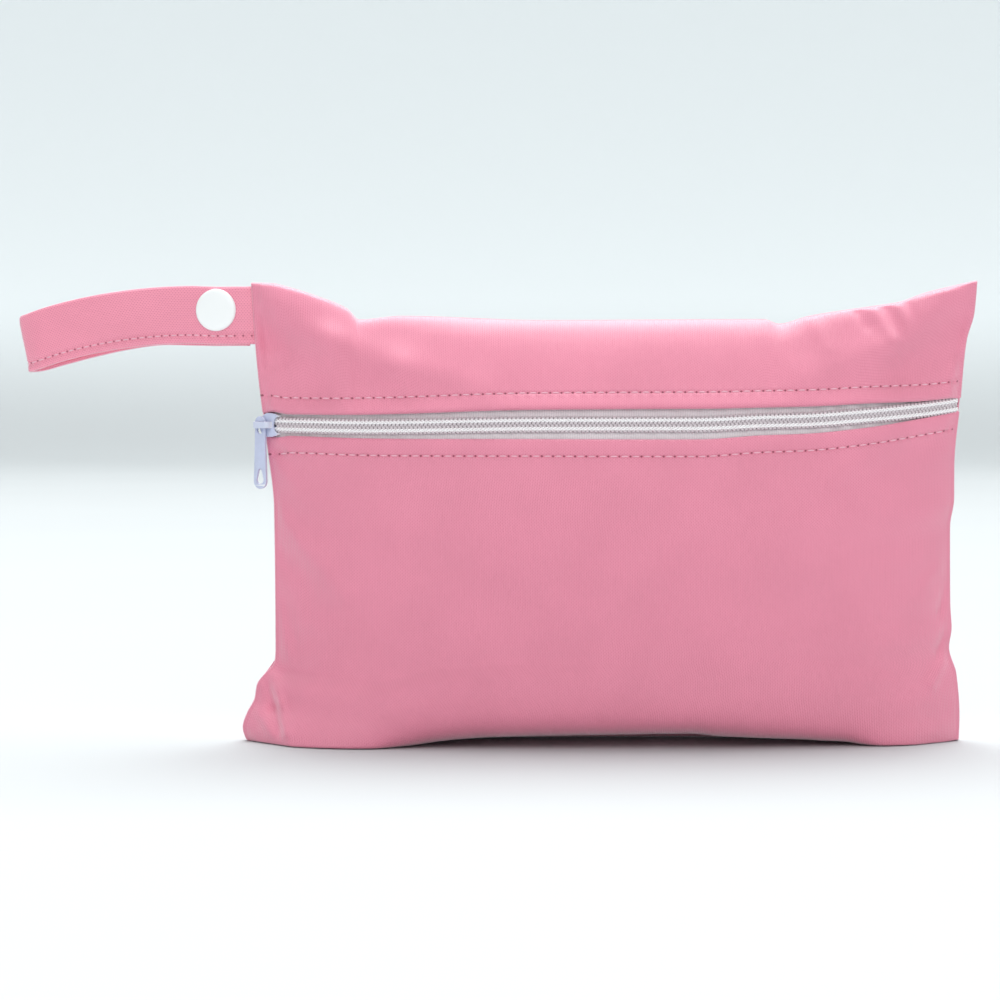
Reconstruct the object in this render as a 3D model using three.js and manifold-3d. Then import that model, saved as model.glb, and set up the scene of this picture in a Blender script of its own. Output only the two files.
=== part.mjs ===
// A small cloth wet bag that stands on its lower fold: a stuffed pouch with a coil zip across its front,
// and a strap at its upper left that is doubled over into a hanging loop and closed by a snap.
// Sizes are in millimetres. X runs to the right, Y to the back and Z up. The front faces -Y.
import * as THREE from 'three';
import { mergeVertices } from 'three/addons/utils/BufferGeometryUtils.js';
import Module from 'manifold-3d';

const wasm = await Module();
wasm.setup();

// Pouch, as it stands when stuffed
const bagWidth = 212;
const bagHeight = 134.5;
const frontBulge = 25;
const backBulge = 22;
const clothWall = 1.3;
const seamThickness = 3.4;
const seamAllowance = 3;
const underLift = 4;
const footSink = 5;
const footSpread = 9;
const footSoftness = 16;
const foldWidth = 4;
const foldHeight = 2;
const foldMargin = 8.8;
const spreadMargin = 17.6;
const hemRise = 0.5;
const hemWidth = 4.8;
const stitchDip = 0.35;
const stitchWidth = 1;

// Zip
const windowHeight = 8.6;
const zipBelowCorner = 41.5;
const tapeWidth = 12.5;
const tapeThickness = 0.8;
const coilWidth = 1.95;
const coilThickness = 1.3;
const tapeGap = 0.35;
const tapeParting = 1.3;
const tapeEndInset = 1.9;
const partingLength = 5.5;
const clearance = 0.3;
const cutterReach = 10;

// Slider
const sliderLength = 8;
const sliderWidth = 7;
const sliderMouthWidth = 5.8;
const sliderFromSeam = 4.2;
const coilInSlider = 1.5;
const sliderLip = 0.6;
const plateThickness = 0.8;
const lowerPlateLength = 5.4;
const postRadius = 0.8;
const postInset = 0.4;
const bridgeHeight = 1.9;
const bridgeLength = 5.7;
const bridgeThickness = 0.8;
const bridgeLegThickness = 0.9;
const pullPostRadius = 0.7;
const pullPostInset = 0.3;
const weldDepth = 0.1;

// Pull
const pullThickness = 1;
const pullLength = 21.3;
const pullWidth = 4.4;
const pullEyeWidth = 3.5;
const pullEyeRing = 1.6;
const pullEyeSlotLength = 3.6;
const pullHoleWidth = 1.7;
const pullHoleLength = 4.2;
const pullHoleFromEnd = 1.5;

// Strap
const strapReach = 67;
const strapWidth = 17;
const strapThickness = 1.6;
const strapBelowCorner = 9.4;
const strapRootDepth = 6;
const strapBow = 19.5;
const layerSpacing = 4.7;

// Snap
const snapAboveStrap = 1.6;
const snapDiameter = 12.4;
const snapCapThickness = 1.3;
const snapBackThickness = 1;
const snapFlangeDiameter = 9;
const snapPinRadius = 0.9;
const snapKnobRadius = 2.1;

const halfWidth = bagWidth / 2;
const seamHalf = seamThickness / 2;
const zipHeight = bagHeight - zipBelowCorner;
const strapHeight = bagHeight - strapBelowCorner;

// Roundness of the stuffed shape across the bag and up it, and how far the stuffing has sunk
const fullness = { across: 2.6, acrossEase: 0.9, up: 2.3, upEase: 0.55, sunk: 0.1 };

// Upper fold, seen from the front: a place across the bag and the height there
const upperFold = [
  { across: -1, height: 1.001 },
  { across: -0.905, height: 0.992 },
  { across: -0.824, height: 0.972 },
  { across: -0.741, height: 0.945 },
  { across: -0.708, height: 0.921 },
  { across: -0.589, height: 0.929 },
  { across: -0.2, height: 0.92 },
  { across: 0.416, height: 0.922 },
  { across: 0.457, height: 0.912 },
  { across: 0.54, height: 0.929 },
  { across: 0.705, height: 0.949 },
  { across: 0.788, height: 0.959 },
  { across: 0.87, height: 0.981 },
  { across: 1, height: 1.005 },
];

// Underside, seen from the front: a place across the bag and the lift off the surface there
const underside = [
  { across: -1, lift: 0.6 },
  { across: -0.96, lift: 0 },
  { across: -0.7, lift: 0.05 },
  { across: -0.59, lift: 0.45 },
  { across: -0.41, lift: 0.65 },
  { across: 0, lift: 0.95 },
  { across: 0.24, lift: 1.05 },
  { across: 0.31, lift: 0.8 },
  { across: 0.6, lift: 0.42 },
  { across: 0.69, lift: 0.7 },
  { across: 0.8, lift: 0.3 },
  { across: 0.88, lift: 0 },
  { across: 0.96, lift: 0.2 },
  { across: 1, lift: 0.9 },
];

// Side seams, seen from the front: a height and how far out each seam lies there
const leftSeam = [
  { up: 0, out: 1 },
  { up: 0.04, out: 1.006 },
  { up: 0.078, out: 0.982 },
  { up: 0.13, out: 0.957 },
  { up: 0.177, out: 0.925 },
  { up: 0.52, out: 0.928 },
  { up: 0.65, out: 0.946 },
  { up: 0.76, out: 0.965 },
  { up: 0.86, out: 0.978 },
  { up: 1, out: 0.99 },
];
const rightSeam = [
  { up: 0, out: 0.973 },
  { up: 0.06, out: 0.975 },
  { up: 0.14, out: 0.961 },
  { up: 0.208, out: 0.941 },
  { up: 0.47, out: 0.943 },
  { up: 0.59, out: 0.953 },
  { up: 0.74, out: 0.971 },
  { up: 0.87, out: 0.985 },
  { up: 1, out: 1.018 },
];

// The two corners that the bag stands on: the cloth spreads there to the front and to the back
const feet = [
  { across: -0.83, reach: 0.19, front: 1, back: 0.7 },
  { across: 0.86, reach: 0.15, front: 0.55, back: 0.9 },
];

// Zip opening: a place across the bag, the height of its middle and half its height there
const zipWindow = [
  { across: -1.03, middle: 1, half: 0.9 },
  { across: -0.975, middle: 1, half: 0.88 },
  { across: -0.93, middle: 0.999, half: 0.74 },
  { across: -0.709, middle: 0.995, half: 0.8 },
  { across: -0.22, middle: 1.002, half: 0.98 },
  { across: 0.24, middle: 1.003, half: 1.02 },
  { across: 0.416, middle: 1.011, half: 0.93 },
  { across: 0.546, middle: 1.015, half: 0.91 },
  { across: 0.709, middle: 1.028, half: 0.83 },
  { across: 0.897, middle: 1.048, half: 0.59 },
  { across: 1.03, middle: 1.068, half: 0.49 },
];

// Main folds of the front and back: both ends of a ridge, and its width and height; a valley's is negative
const folds = [
  { side: -1, x0: -0.92, z0: 0.15, x1: -0.886, z1: 0.03, width: 0.9, height: 0.9 },
  { side: -1, x0: -0.95, z0: 0.12, x1: -0.935, z1: 0.02, width: 0.7, height: -0.4 },
  { side: -1, x0: -0.985, z0: 0.085, x1: -0.925, z1: 0.03, width: 0.6, height: 0.6 },
  { side: -1, x0: -0.96, z0: 0.9, x1: -0.82, z1: 0.79, width: 2, height: -0.8 },
  { side: -1, x0: -0.78, z0: 0.88, x1: -0.36, z1: 0.79, width: 2, height: 0.7 },
  { side: -1, x0: -0.68, z0: 0.81, x1: -0.5, z1: 0.79, width: 1.5, height: -0.5 },
  { side: -1, x0: 0.72, z0: 0.92, x1: 0.79, z1: 0.84, width: 1.2, height: -0.7 },
  { side: -1, x0: 0.61, z0: 0.58, x1: 0.76, z1: 0.645, width: 1.4, height: 0.6 },
  { side: -1, x0: 0.94, z0: 0.335, x1: 0.915, z1: 0.29, width: 0.8, height: -0.7 },
  { side: -1, x0: 0.94, z0: 0.2, x1: 0.885, z1: 0.13, width: 0.8, height: 0.9 },
  { side: -1, x0: -0.92, z0: 0.5, x1: -0.73, z1: 0.32, width: 2.2, height: 0.6 },
  { side: -1, x0: -0.92, z0: 0.31, x1: -0.88, z1: 0.22, width: 1, height: 0.5 },
  { side: 1, x0: -0.92, z0: 0.2, x1: -0.84, z1: 0.05, width: 1, height: 0.9 },
  { side: 1, x0: 0.92, z0: 0.2, x1: 0.84, z1: 0.05, width: 1, height: 0.8 },
  { side: 1, x0: -0.9, z0: 0.9, x1: -0.5, z1: 0.7, width: 2.4, height: 0.8 },
  { side: 1, x0: 0.9, z0: 0.9, x1: 0.5, z1: 0.68, width: 2.4, height: 0.8 },
];

// Strap, from its root in the seam round the fold at its left end and back to its free end:
// the share of its root in the seam, how far left of the seam and how far back it lies, its sag and its lean
const strapPath = [
  { root: 1, reach: 0, back: 0.002, sag: 0, lean: 0 },
  { root: 0, reach: 0, back: 0.005, sag: 0, lean: 0 },
  { root: 0, reach: 0.06, back: 0.03, sag: 0, lean: 0 },
  { root: 0, reach: 0.153, back: 0.11, sag: 0, lean: 0 },
  { root: 0, reach: 0.27, back: 0.22, sag: -0.02, lean: 0 },
  { root: 0, reach: 0.42, back: 0.33, sag: -0.02, lean: 3 },
  { root: 0, reach: 0.58, back: 0.42, sag: 0.05, lean: 6 },
  { root: 0, reach: 0.72, back: 0.51, sag: 0.17, lean: 9 },
  { root: 0, reach: 0.87, back: 0.63, sag: 0.32, lean: 10 },
  { root: 0, reach: 0.955, back: 0.75, sag: 0.43, lean: 10 },
  { root: 0, reach: 0.988, back: 0.86, sag: 0.47, lean: 10 },
  { root: 0, reach: 0.955, back: 0.98, sag: 0.49, lean: 10 },
  { root: 0, reach: 0.87, back: 1.06, sag: 0.42, lean: 10 },
  { root: 0, reach: 0.72, back: 1.05, sag: 0.28, lean: 9 },
  { root: 0, reach: 0.58, back: 0.95, sag: 0.15, lean: 6 },
  { root: 0, reach: 0.42, back: 0.75, sag: 0.03, lean: 3 },
  { root: 0, reach: 0.27, back: 0.49, sag: 0.01, lean: 0 },
  { root: 0, reach: 0.165, back: 0.363, sag: 0.02, lean: 0 },
  { root: 0, reach: 0.09, back: 0.3, sag: 0.02, lean: 0 },
  { root: 0, reach: 0.02, back: 0.25, sag: 0.02, lean: 0 },
];

// Heights of the cloth's rows: shares of the way up to the lower stitch line, and from the upper one
const bodyRows = [0, 0.012, 0.045, 0.1, 0.19, 0.31, 0.45, 0.6, 0.74, 0.87];
const crownRows = [0.2, 0.42, 0.62, 0.79, 0.91, 0.975, 1];
const columnCount = 32;

const lerp = THREE.MathUtils.lerp;
const clamp = THREE.MathUtils.clamp;
const up = new THREE.Vector3(0, 0, 1);

// Value of one column of a table at a place along another column
function look(table, key, place, column) {
  if (place <= table[0][key]) return table[0][column];
  for (let i = 1; i < table.length; i += 1) {
    const before = table[i - 1];
    const after = table[i];
    if (place <= after[key]) {
      return lerp(before[column], after[column], (place - before[key]) / (after[key] - before[key]));
    }
  }
  return table[table.length - 1][column];
}

// Outline of the pouch and the levels of its zip at a place across it
const upperAt = (across) => look(upperFold, 'across', across, 'height') * bagHeight;
const middleAt = (across) => look(zipWindow, 'across', across, 'middle') * zipHeight;
const halfAt = (across) => (look(zipWindow, 'across', across, 'half') * windowHeight) / 2;

function footAt(across, column) {
  let total = 0;
  for (const foot of feet) {
    const distance = (across - foot.across) / foot.reach;
    total += foot[column] * Math.exp(-(distance ** 4));
  }
  return total;
}

function lowerAt(across) {
  const sink = Math.min(1, footAt(across, 'front') + footAt(across, 'back')) * footSink;
  return look(underside, 'across', across, 'lift') * underLift - sink;
}

// Height of a ridge or valley at a point of the front (side -1) or back (side 1)
function foldRelief(side, x, z) {
  let total = 0;
  for (const fold of folds) {
    if (fold.side !== side) continue;
    const start = new THREE.Vector2(fold.x0 * halfWidth, fold.z0 * bagHeight);
    const run = new THREE.Vector2(fold.x1 * halfWidth, fold.z1 * bagHeight).sub(start);
    const offset = new THREE.Vector2(x, z).sub(start);
    const along = clamp(offset.dot(run) / run.lengthSq(), 0, 1);
    const distance = offset.addScaledVector(run, -along).length() / (fold.width * foldWidth);
    total += fold.height * foldHeight * Math.exp(-(distance ** 2));
  }
  return total;
}

// Point of the stuffed cloth at a place across the bag and a height, on its front or its back
function clothPoint(side, across, z, relief = 0) {
  const low = lowerAt(across);
  const share = clamp((z - low) / (upperAt(across) - low), 0, 1);
  const left = -look(leftSeam, 'up', share, 'out') * halfWidth;
  const right = look(rightSeam, 'up', share, 'out') * halfWidth;
  const x = lerp(left, right, (across + 1) / 2);
  const s = Math.min(1, Math.abs(across));
  const t = 2 * share - 1;
  const level = Math.abs(t + fullness.sunk * (1 - t * t));
  const swellAcross = (1 - s ** fullness.across) ** fullness.acrossEase;
  const swellUp = (1 - level ** fullness.up) ** fullness.upEase;
  const bulge = (side < 0 ? frontBulge : backBulge) * swellAcross * swellUp;
  const spread = footSpread * footAt(across, side < 0 ? 'front' : 'back') * Math.exp(-z / footSoftness);
  const fromSeam = (1 - s) * halfWidth;
  const fromFold = (1 - Math.abs(t)) * halfWidth;
  const edge = Math.min(1, fromSeam / foldMargin) * Math.min(1, fromFold / foldMargin);
  const extra = (foldRelief(side, x, z) + relief) * edge + spread * Math.min(1, fromSeam / spreadMargin);
  return new THREE.Vector3(x, side * (seamHalf + bulge + extra), Math.max(0, z));
}

// Closed solid through rings of points. Each ring runs up its front side and down its back side.
function loft(rings) {
  const count = rings[0].length;
  const positions = rings.flat().flatMap((point) => [point.x, point.y, point.z]);
  const faces = [];
  for (let i = 0; i + 1 < rings.length; i += 1) {
    for (let j = 0; j < count; j += 1) {
      const a = i * count + j;
      const b = i * count + ((j + 1) % count);
      faces.push(a, a + count, b + count, a, b + count, b);
    }
  }
  const last = (rings.length - 1) * count;
  for (let j = 0; j < count / 2 - 1; j += 1) {
    const [a, b, c, d] = [j, j + 1, count - 2 - j, count - 1 - j];
    faces.push(a, b, c, a, c, d);
    faces.push(last + a, last + c, last + b, last + a, last + d, last + c);
  }
  const geometry = new THREE.BufferGeometry();
  geometry.setAttribute('position', new THREE.Float32BufferAttribute(positions, 3));
  geometry.setIndex(faces);
  return geometry;
}

// Conversions between three.js geometry and solids that can be joined and cut
function toSolid(geometry) {
  const bare = geometry.clone();
  bare.deleteAttribute('normal');
  bare.deleteAttribute('uv');
  const merged = mergeVertices(bare);
  return new wasm.Manifold(new wasm.Mesh({
    numProp: 3,
    vertProperties: Float32Array.from(merged.attributes.position.array),
    triVerts: Uint32Array.from(merged.index.array),
  }));
}

function toGeometry(solid) {
  const mesh = solid.getMesh();
  const geometry = new THREE.BufferGeometry();
  geometry.setAttribute('position', new THREE.BufferAttribute(Float32Array.from(mesh.vertProperties), 3));
  geometry.setIndex(new THREE.BufferAttribute(Uint32Array.from(mesh.triVerts), 1));
  return geometry;
}

// Places across the bag, closer together towards the side seams
function columns(first, last) {
  const places = [first];
  for (let i = 1; i < columnCount; i += 1) {
    const even = (2 * i) / columnCount - 1;
    const place = 0.55 * even + 0.45 * Math.sin((even * Math.PI) / 2);
    if (place > first && place < last) places.push(place);
  }
  places.push(last);
  return places;
}

// Heights of the cloth's rows at a place across the bag, with the raised hems and their stitch lines
function clothRows(across) {
  const lowHem = middleAt(across) - halfAt(across);
  const highHem = middleAt(across) + halfAt(across);
  const lowStitch = lowHem - hemWidth;
  const highStitch = highHem + hemWidth;
  const low = lowerAt(across);
  const high = upperAt(across);
  const bodyTop = lowStitch - stitchWidth;
  const crownFoot = highStitch + stitchWidth;
  return [
    ...bodyRows.map((share) => ({ z: lerp(low, bodyTop, share), relief: 0 })),
    { z: bodyTop, relief: 0 },
    { z: lowStitch, relief: -stitchDip },
    { z: lowStitch + stitchWidth, relief: hemRise },
    { z: lowHem, relief: hemRise },
    { z: highHem, relief: hemRise },
    { z: highStitch - stitchWidth, relief: hemRise },
    { z: highStitch, relief: -stitchDip },
    { z: crownFoot, relief: 0 },
    ...crownRows.map((share) => ({ z: lerp(crownFoot, high, share), relief: 0 })),
  ];
}

// Outer surface of the pouch
function pouchOutside() {
  return loft(columns(-1, 1).map((across) => {
    const rows = clothRows(across);
    const front = rows.map((row) => clothPoint(-1, across, row.z, row.relief));
    const back = rows.map((row) => clothPoint(1, across, row.z)).reverse();
    return [...front, ...back];
  }));
}

// Hollow of the pouch: the same rings, moved in by the cloth's thickness
function pouchInside() {
  const first = -1 + seamAllowance / halfWidth;
  return loft(columns(first, -first).map((across) => {
    const rows = clothRows(across).filter((row, index) => row.relief === 0 && index % 2 === 0);
    const ring = [
      ...rows.map((row) => clothPoint(-1, across, row.z)),
      ...rows.map((row) => clothPoint(1, across, row.z)).reverse(),
    ];
    return ring.map((point, index) => {
      const next = ring[(index + 1) % ring.length];
      const previous = ring[(index + ring.length - 1) % ring.length];
      const inward = new THREE.Vector3(0, next.z - previous.z, previous.y - next.y).normalize();
      return point.clone().addScaledVector(inward, clothWall);
    });
  }));
}

// Frame of the zip at a place across the bag: a point of the cloth, the way along and the way out
function zipFrame(across) {
  const step = 0.004;
  const inside = clamp(across, -1 + step, 1 - step);
  const before = clothPoint(-1, inside - step, middleAt(inside - step));
  const after = clothPoint(-1, inside + step, middleAt(inside + step));
  const along = after.clone().sub(before).setZ(0).normalize();
  const out = new THREE.Vector3().crossVectors(along, up);
  const point = clothPoint(-1, inside, middleAt(inside));
  point.addScaledVector(along, (across - inside) * halfWidth);
  return { point, along, out };
}

// Ribbon that follows the front of the cloth between two depths, through the heights given at each place
function ribbon(places, heights, nearDepth, farDepth) {
  return loft(places.map((across) => {
    const { point: base, out } = zipFrame(across);
    const inside = clamp(across, -1, 1);
    const level = clothPoint(-1, inside, middleAt(inside)).y;
    const points = heights(across).map((height) => {
      const step = clothPoint(-1, inside, height).y - level;
      return new THREE.Vector3(base.x, base.y + step, height);
    });
    return [
      ...points.map((point) => point.clone().addScaledVector(out, -nearDepth)),
      ...points.map((point) => point.clone().addScaledVector(out, -farDepth)).reverse(),
    ];
  }));
}

// Depths below the cloth's outer surface
const tapeDepth = clothWall + tapeGap;
const coilDepth = tapeDepth - clearance - coilThickness;
const pocketDepth = clothWall + clearance / 2;
const pocketFloor = tapeDepth + tapeThickness + clearance;
const tapeEnd = 1 - tapeEndInset / halfWidth;

function partingAt(across) {
  const share = clamp(1 - ((across + tapeEnd) * halfWidth) / partingLength, 0, 1);
  return clearance / 2 + share * tapeParting;
}

function tapeHeights(way) {
  return (across) => {
    const inner = middleAt(across) + way * partingAt(across);
    const outer = middleAt(across) + way * tapeWidth;
    const between = (inner + outer) / 2;
    return way > 0 ? [inner, between, outer] : [outer, between, inner];
  };
}

function zipTape(way) {
  return ribbon(columns(-tapeEnd, tapeEnd), tapeHeights(way), tapeDepth, tapeDepth + tapeThickness);
}

function zipCoil(way) {
  const heights = (across) => {
    const inner = middleAt(across) + (way * clearance) / 2;
    const outer = inner + way * coilWidth;
    return way > 0 ? [inner, outer] : [outer, inner];
  };
  return ribbon(columns(coilStart, tapeEnd), heights, coilDepth, coilDepth + coilThickness);
}

// Slider frame: a runs along the zip, b up and n out of the cloth. Its origin is at the mouth that
// the closed zip leaves by.
const sliderAcross = -1 + sliderFromSeam / halfWidth;
const sliderPlace = zipFrame(sliderAcross);
const sliderMatrix = new THREE.Matrix4()
  .makeBasis(sliderPlace.along, up, sliderPlace.out)
  .setPosition(sliderPlace.point.x, sliderPlace.point.y, middleAt(sliderAcross));
const coilStart = sliderAcross - coilInSlider / halfWidth;
const upperPlateBottom = -coilDepth + clearance;
const upperPlateTop = upperPlateBottom + plateThickness;
const lowerPlateTop = -pocketFloor;
const lowerPlateBottom = lowerPlateTop - plateThickness;
const pullBottom = upperPlateTop + clearance;
const bridgeBottom = pullBottom + pullThickness + clearance;
const bridgeTop = bridgeBottom + bridgeThickness;
const pullPostPlace = -bridgeLength + pullPostRadius + pullPostInset;

function block(a0, a1, b0, b1, n0, n1) {
  const geometry = new THREE.BoxGeometry(a1 - a0, b1 - b0, n1 - n0);
  return geometry.translate((a0 + a1) / 2, (b0 + b1) / 2, (n0 + n1) / 2);
}

// Round post that stands along n
function post(a, radius, n0, n1) {
  const geometry = new THREE.CylinderGeometry(radius, radius, n1 - n0, 14);
  return geometry.rotateX(Math.PI / 2).translate(a, 0, (n0 + n1) / 2);
}

// Plate with a blunt nose, wide shoulders and a narrower mouth
function sliderPlate(length, n0, n1) {
  const outline = new THREE.Shape();
  const shoulder = sliderWidth / 2;
  const mouth = sliderMouthWidth / 2;
  outline.moveTo(0, -mouth);
  outline.lineTo(0, mouth);
  outline.lineTo(-length * 0.5, shoulder);
  outline.quadraticCurveTo(-length, shoulder, -length, 0);
  outline.quadraticCurveTo(-length, -shoulder, -length * 0.5, -shoulder);
  outline.closePath();
  const settings = { depth: n1 - n0, bevelEnabled: false, curveSegments: 4 };
  return new THREE.ExtrudeGeometry(outline, settings).translate(0, 0, n0);
}

function sliderBody() {
  const lipOuter = sliderMouthWidth / 2;
  const lipInner = lipOuter - sliderLip;
  const lipLength = lowerPlateLength * 0.67;
  const lipFoot = -tapeDepth + clearance;
  const plateFoot = upperPlateBottom + weldDepth;
  const plateHead = upperPlateTop - weldDepth;
  const postPlace = -lowerPlateLength + postRadius + postInset;
  const middle = bridgeHeight / 2;
  const legBack = -bridgeLegThickness / 2;
  const legFront = legBack - bridgeLegThickness;
  const pieces = [
    sliderPlate(sliderLength, upperPlateBottom, upperPlateTop),
    sliderPlate(lowerPlateLength, lowerPlateBottom, lowerPlateTop),
    post(postPlace, postRadius, lowerPlateBottom + weldDepth, plateHead),
    block(-lipLength, -weldDepth, lipInner, lipOuter, lipFoot, plateFoot),
    block(-lipLength, -weldDepth, -lipOuter, -lipInner, lipFoot, plateFoot),
    block(-bridgeLength, legBack, -middle, middle, bridgeBottom, bridgeTop),
    block(legFront, legBack, -middle, middle, plateHead, bridgeTop - weldDepth),
    post(pullPostPlace, pullPostRadius, plateHead, bridgeTop - weldDepth),
  ];
  let solid = toSolid(pieces[0]);
  for (const piece of pieces.slice(1)) solid = solid.add(toSolid(piece));
  return toGeometry(solid).applyMatrix4(sliderMatrix);
}

// Room that the slider takes in the cloth
function sliderRoom() {
  const half = sliderWidth / 2 + clearance;
  const back = -lowerPlateLength - clearance;
  const floor = lowerPlateBottom - clearance;
  return block(back, clearance, -half, half, floor, upperPlateTop + cutterReach).applyMatrix4(sliderMatrix);
}

// Flat pull that hangs from the round post by its eye
function pull() {
  const top = pullPostRadius + clearance + pullEyeRing;
  const bottom = top - pullLength;
  const eyeHalf = pullEyeWidth / 2;
  const endHalf = pullWidth / 2;
  const outline = new THREE.Shape();
  outline.moveTo(eyeHalf, top - eyeHalf);
  outline.absarc(0, top - eyeHalf, eyeHalf, 0, Math.PI, false);
  outline.lineTo(-endHalf, bottom + endHalf);
  outline.absarc(0, bottom + endHalf, endHalf, Math.PI, 2 * Math.PI, false);
  outline.closePath();
  const slotHalf = pullPostRadius + clearance;
  const slot = new THREE.Path();
  slot.moveTo(slotHalf, 0);
  slot.absarc(0, 0, slotHalf, 0, Math.PI, false);
  slot.absarc(0, 2 * slotHalf - pullEyeSlotLength, slotHalf, Math.PI, 2 * Math.PI, false);
  slot.closePath();
  const holeHalf = pullHoleWidth / 2;
  const holeFoot = bottom + pullHoleFromEnd;
  const hole = new THREE.Path();
  hole.moveTo(0, holeFoot + pullHoleLength);
  hole.lineTo(-holeHalf, holeFoot + holeHalf);
  hole.absarc(0, holeFoot + holeHalf, holeHalf, Math.PI, 2 * Math.PI, false);
  hole.closePath();
  outline.holes.push(slot, hole);
  const settings = { depth: pullThickness, bevelEnabled: false, curveSegments: 8 };
  const geometry = new THREE.ExtrudeGeometry(outline, settings);
  return toGeometry(toSolid(geometry.translate(pullPostPlace, 0, pullBottom).applyMatrix4(sliderMatrix)));
}

// Place of a row of the strap's path, at the height of the strap's middle line
const seamAtStrap = clothPoint(-1, -1, strapHeight).x;

function strapPoint(row) {
  const x = seamAtStrap - row.reach * strapReach + row.root * strapRootDepth;
  return new THREE.Vector3(x, row.back * strapBow, strapHeight - row.sag * strapWidth);
}

// Way along the strap, its width and its face at each row
function strapFrames() {
  const points = strapPath.map(strapPoint);
  return points.map((point, index) => {
    const before = points[Math.max(0, index - 1)];
    const after = points[Math.min(points.length - 1, index + 1)];
    const along = after.clone().sub(before).normalize();
    const lean = THREE.MathUtils.degToRad(strapPath[index].lean);
    const face = new THREE.Vector3(-Math.sin(lean), 0, Math.cos(lean)).cross(along).normalize().negate();
    const width = face.clone().cross(along);
    return { point, along, face, width };
  });
}

// Snap frame: its parts stand along the face of the strap's front layer, n is 0 in the middle of that layer
const snapRow = strapFrames()[3];
const snapFace = snapRow.face.clone().multiplyScalar(snapRow.face.y > 0 ? -1 : 1).setZ(0).normalize();
const snapMatrix = new THREE.Matrix4()
  .makeBasis(new THREE.Vector3().crossVectors(up, snapFace), up, snapFace)
  .setPosition(snapRow.point.clone().addScaledVector(up, snapAboveStrap));

const layerHalf = strapThickness / 2;
const flange = (layerSpacing - strapThickness - 3 * clearance) / 2;
const studTop = -layerHalf - clearance;
const studBottom = studTop - flange;
const socketTop = studBottom - clearance;
const socketBottom = socketTop - flange;
const backLayer = -layerSpacing;
const backCapTop = backLayer - layerHalf - clearance;
const pinHole = snapPinRadius + clearance;
const frontCapBase = layerHalf + clearance;
const frontPinEnd = studBottom + 2 * clearance;
const backPinEnd = socketBottom + clearance / 2;

// Solid turned about the snap's axis from pairs of radius and height
function turned(profile, sides) {
  const outline = profile.map(([radius, height]) => new THREE.Vector2(radius, height));
  const geometry = new THREE.LatheGeometry(outline, sides).rotateX(Math.PI / 2);
  return toGeometry(toSolid(geometry.applyMatrix4(snapMatrix)));
}

// Capped disc with a rounded rim and a pin on the other side
function snapCap(base, thickness, pinEnd) {
  const radius = snapDiameter / 2;
  const way = Math.sign(thickness);
  const profile = [
    [0, pinEnd],
    [snapPinRadius, pinEnd],
    [snapPinRadius, base],
    [radius * 0.97, base],
    [radius, base + thickness * 0.25],
    [radius * 0.97, base + thickness * 0.6],
    [radius * 0.88, base + thickness * 0.82],
    [radius * 0.5, base + thickness * 0.96],
    [0, base + thickness],
  ];
  return turned(way > 0 ? profile : profile.reverse(), 28);
}

function snapStud() {
  const radius = snapFlangeDiameter / 2;
  const knobEnd = studBottom - flange;
  return turned([
    [0, knobEnd],
    [snapKnobRadius, knobEnd],
    [snapKnobRadius, studBottom],
    [radius, studBottom],
    [radius, studTop],
    [pinHole, studTop],
    [pinHole, studBottom + clearance],
    [0, studBottom + clearance],
  ], 20);
}

function snapSocket() {
  const radius = snapFlangeDiameter / 2;
  const throat = snapKnobRadius + clearance;
  return turned([
    [throat, socketBottom],
    [radius, socketBottom],
    [radius, socketTop],
    [throat, socketTop],
    [throat, socketBottom],
  ], 20);
}

// Strap: a flat band with rounded edges, holed for the snap's two pins
function strap() {
  const half = strapWidth / 2;
  const edge = half - layerHalf / 2;
  const rings = strapFrames().map(({ point, face, width }) => {
    const at = (across, out) => point.clone().addScaledVector(width, across).addScaledVector(face, out);
    return [
      at(-half, 0), at(-edge, layerHalf), at(edge, layerHalf),
      at(half, 0), at(edge, -layerHalf), at(-edge, -layerHalf),
    ];
  });
  const holeLength = layerSpacing * 3;
  const hole = post(0, pinHole, -holeLength, holeLength / 2).applyMatrix4(snapMatrix);
  return toGeometry(toSolid(loft(rings)).subtract(toSolid(hole)));
}

// Slit in the left seam that the strap's root is sewn into
function strapSlit() {
  const depth = strapRootDepth + clearance;
  const half = strapWidth / 2 + clearance;
  const slit = layerHalf + clearance;
  const geometry = new THREE.BoxGeometry(depth + seamAllowance, 2 * slit, 2 * half);
  return geometry.translate(seamAtStrap + (depth - seamAllowance) / 2, 0, strapHeight);
}

function pouch() {
  const places = columns(-1.03, 1.03);
  const windowHeights = (across) => [middleAt(across) - halfAt(across), middleAt(across) + halfAt(across)];
  const window = ribbon(places, windowHeights, -cutterReach, pocketFloor);
  const reach = tapeWidth + clearance;
  const pocketHeights = (across) => [-1, -0.5, 0, 0.5, 1].map((share) => middleAt(across) + share * reach);
  const pocketEnd = tapeEnd + clearance / halfWidth;
  const pocket = ribbon(columns(-pocketEnd, pocketEnd), pocketHeights, pocketDepth, pocketFloor);
  const cutters = [pouchInside(), window, pocket, sliderRoom(), strapSlit()];
  let solid = toSolid(pouchOutside());
  for (const cutter of cutters) solid = solid.subtract(toSolid(cutter));
  return toGeometry(solid);
}

// Finishes
const cloth = { color: 0xe08aa4, roughness: 0.85, metalness: 0 };
const strapCloth = { color: 0xe892ac, roughness: 0.85, metalness: 0 };
const tapeWeave = { color: 0xd8ccd0, roughness: 0.7, metalness: 0 };
const coilNylon = { color: 0xf2eef0, roughness: 0.45, metalness: 0 };
const paintedZinc = { color: 0xbcc4e0, roughness: 0.35, metalness: 0.1 };
const whitePlastic = { color: 0xf1f4f5, roughness: 0.25, metalness: 0 };

function part(name, geometry, finish) {
  const mesh = new THREE.Mesh(geometry, new THREE.MeshStandardMaterial(finish));
  mesh.name = name;
  return mesh;
}

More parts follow.
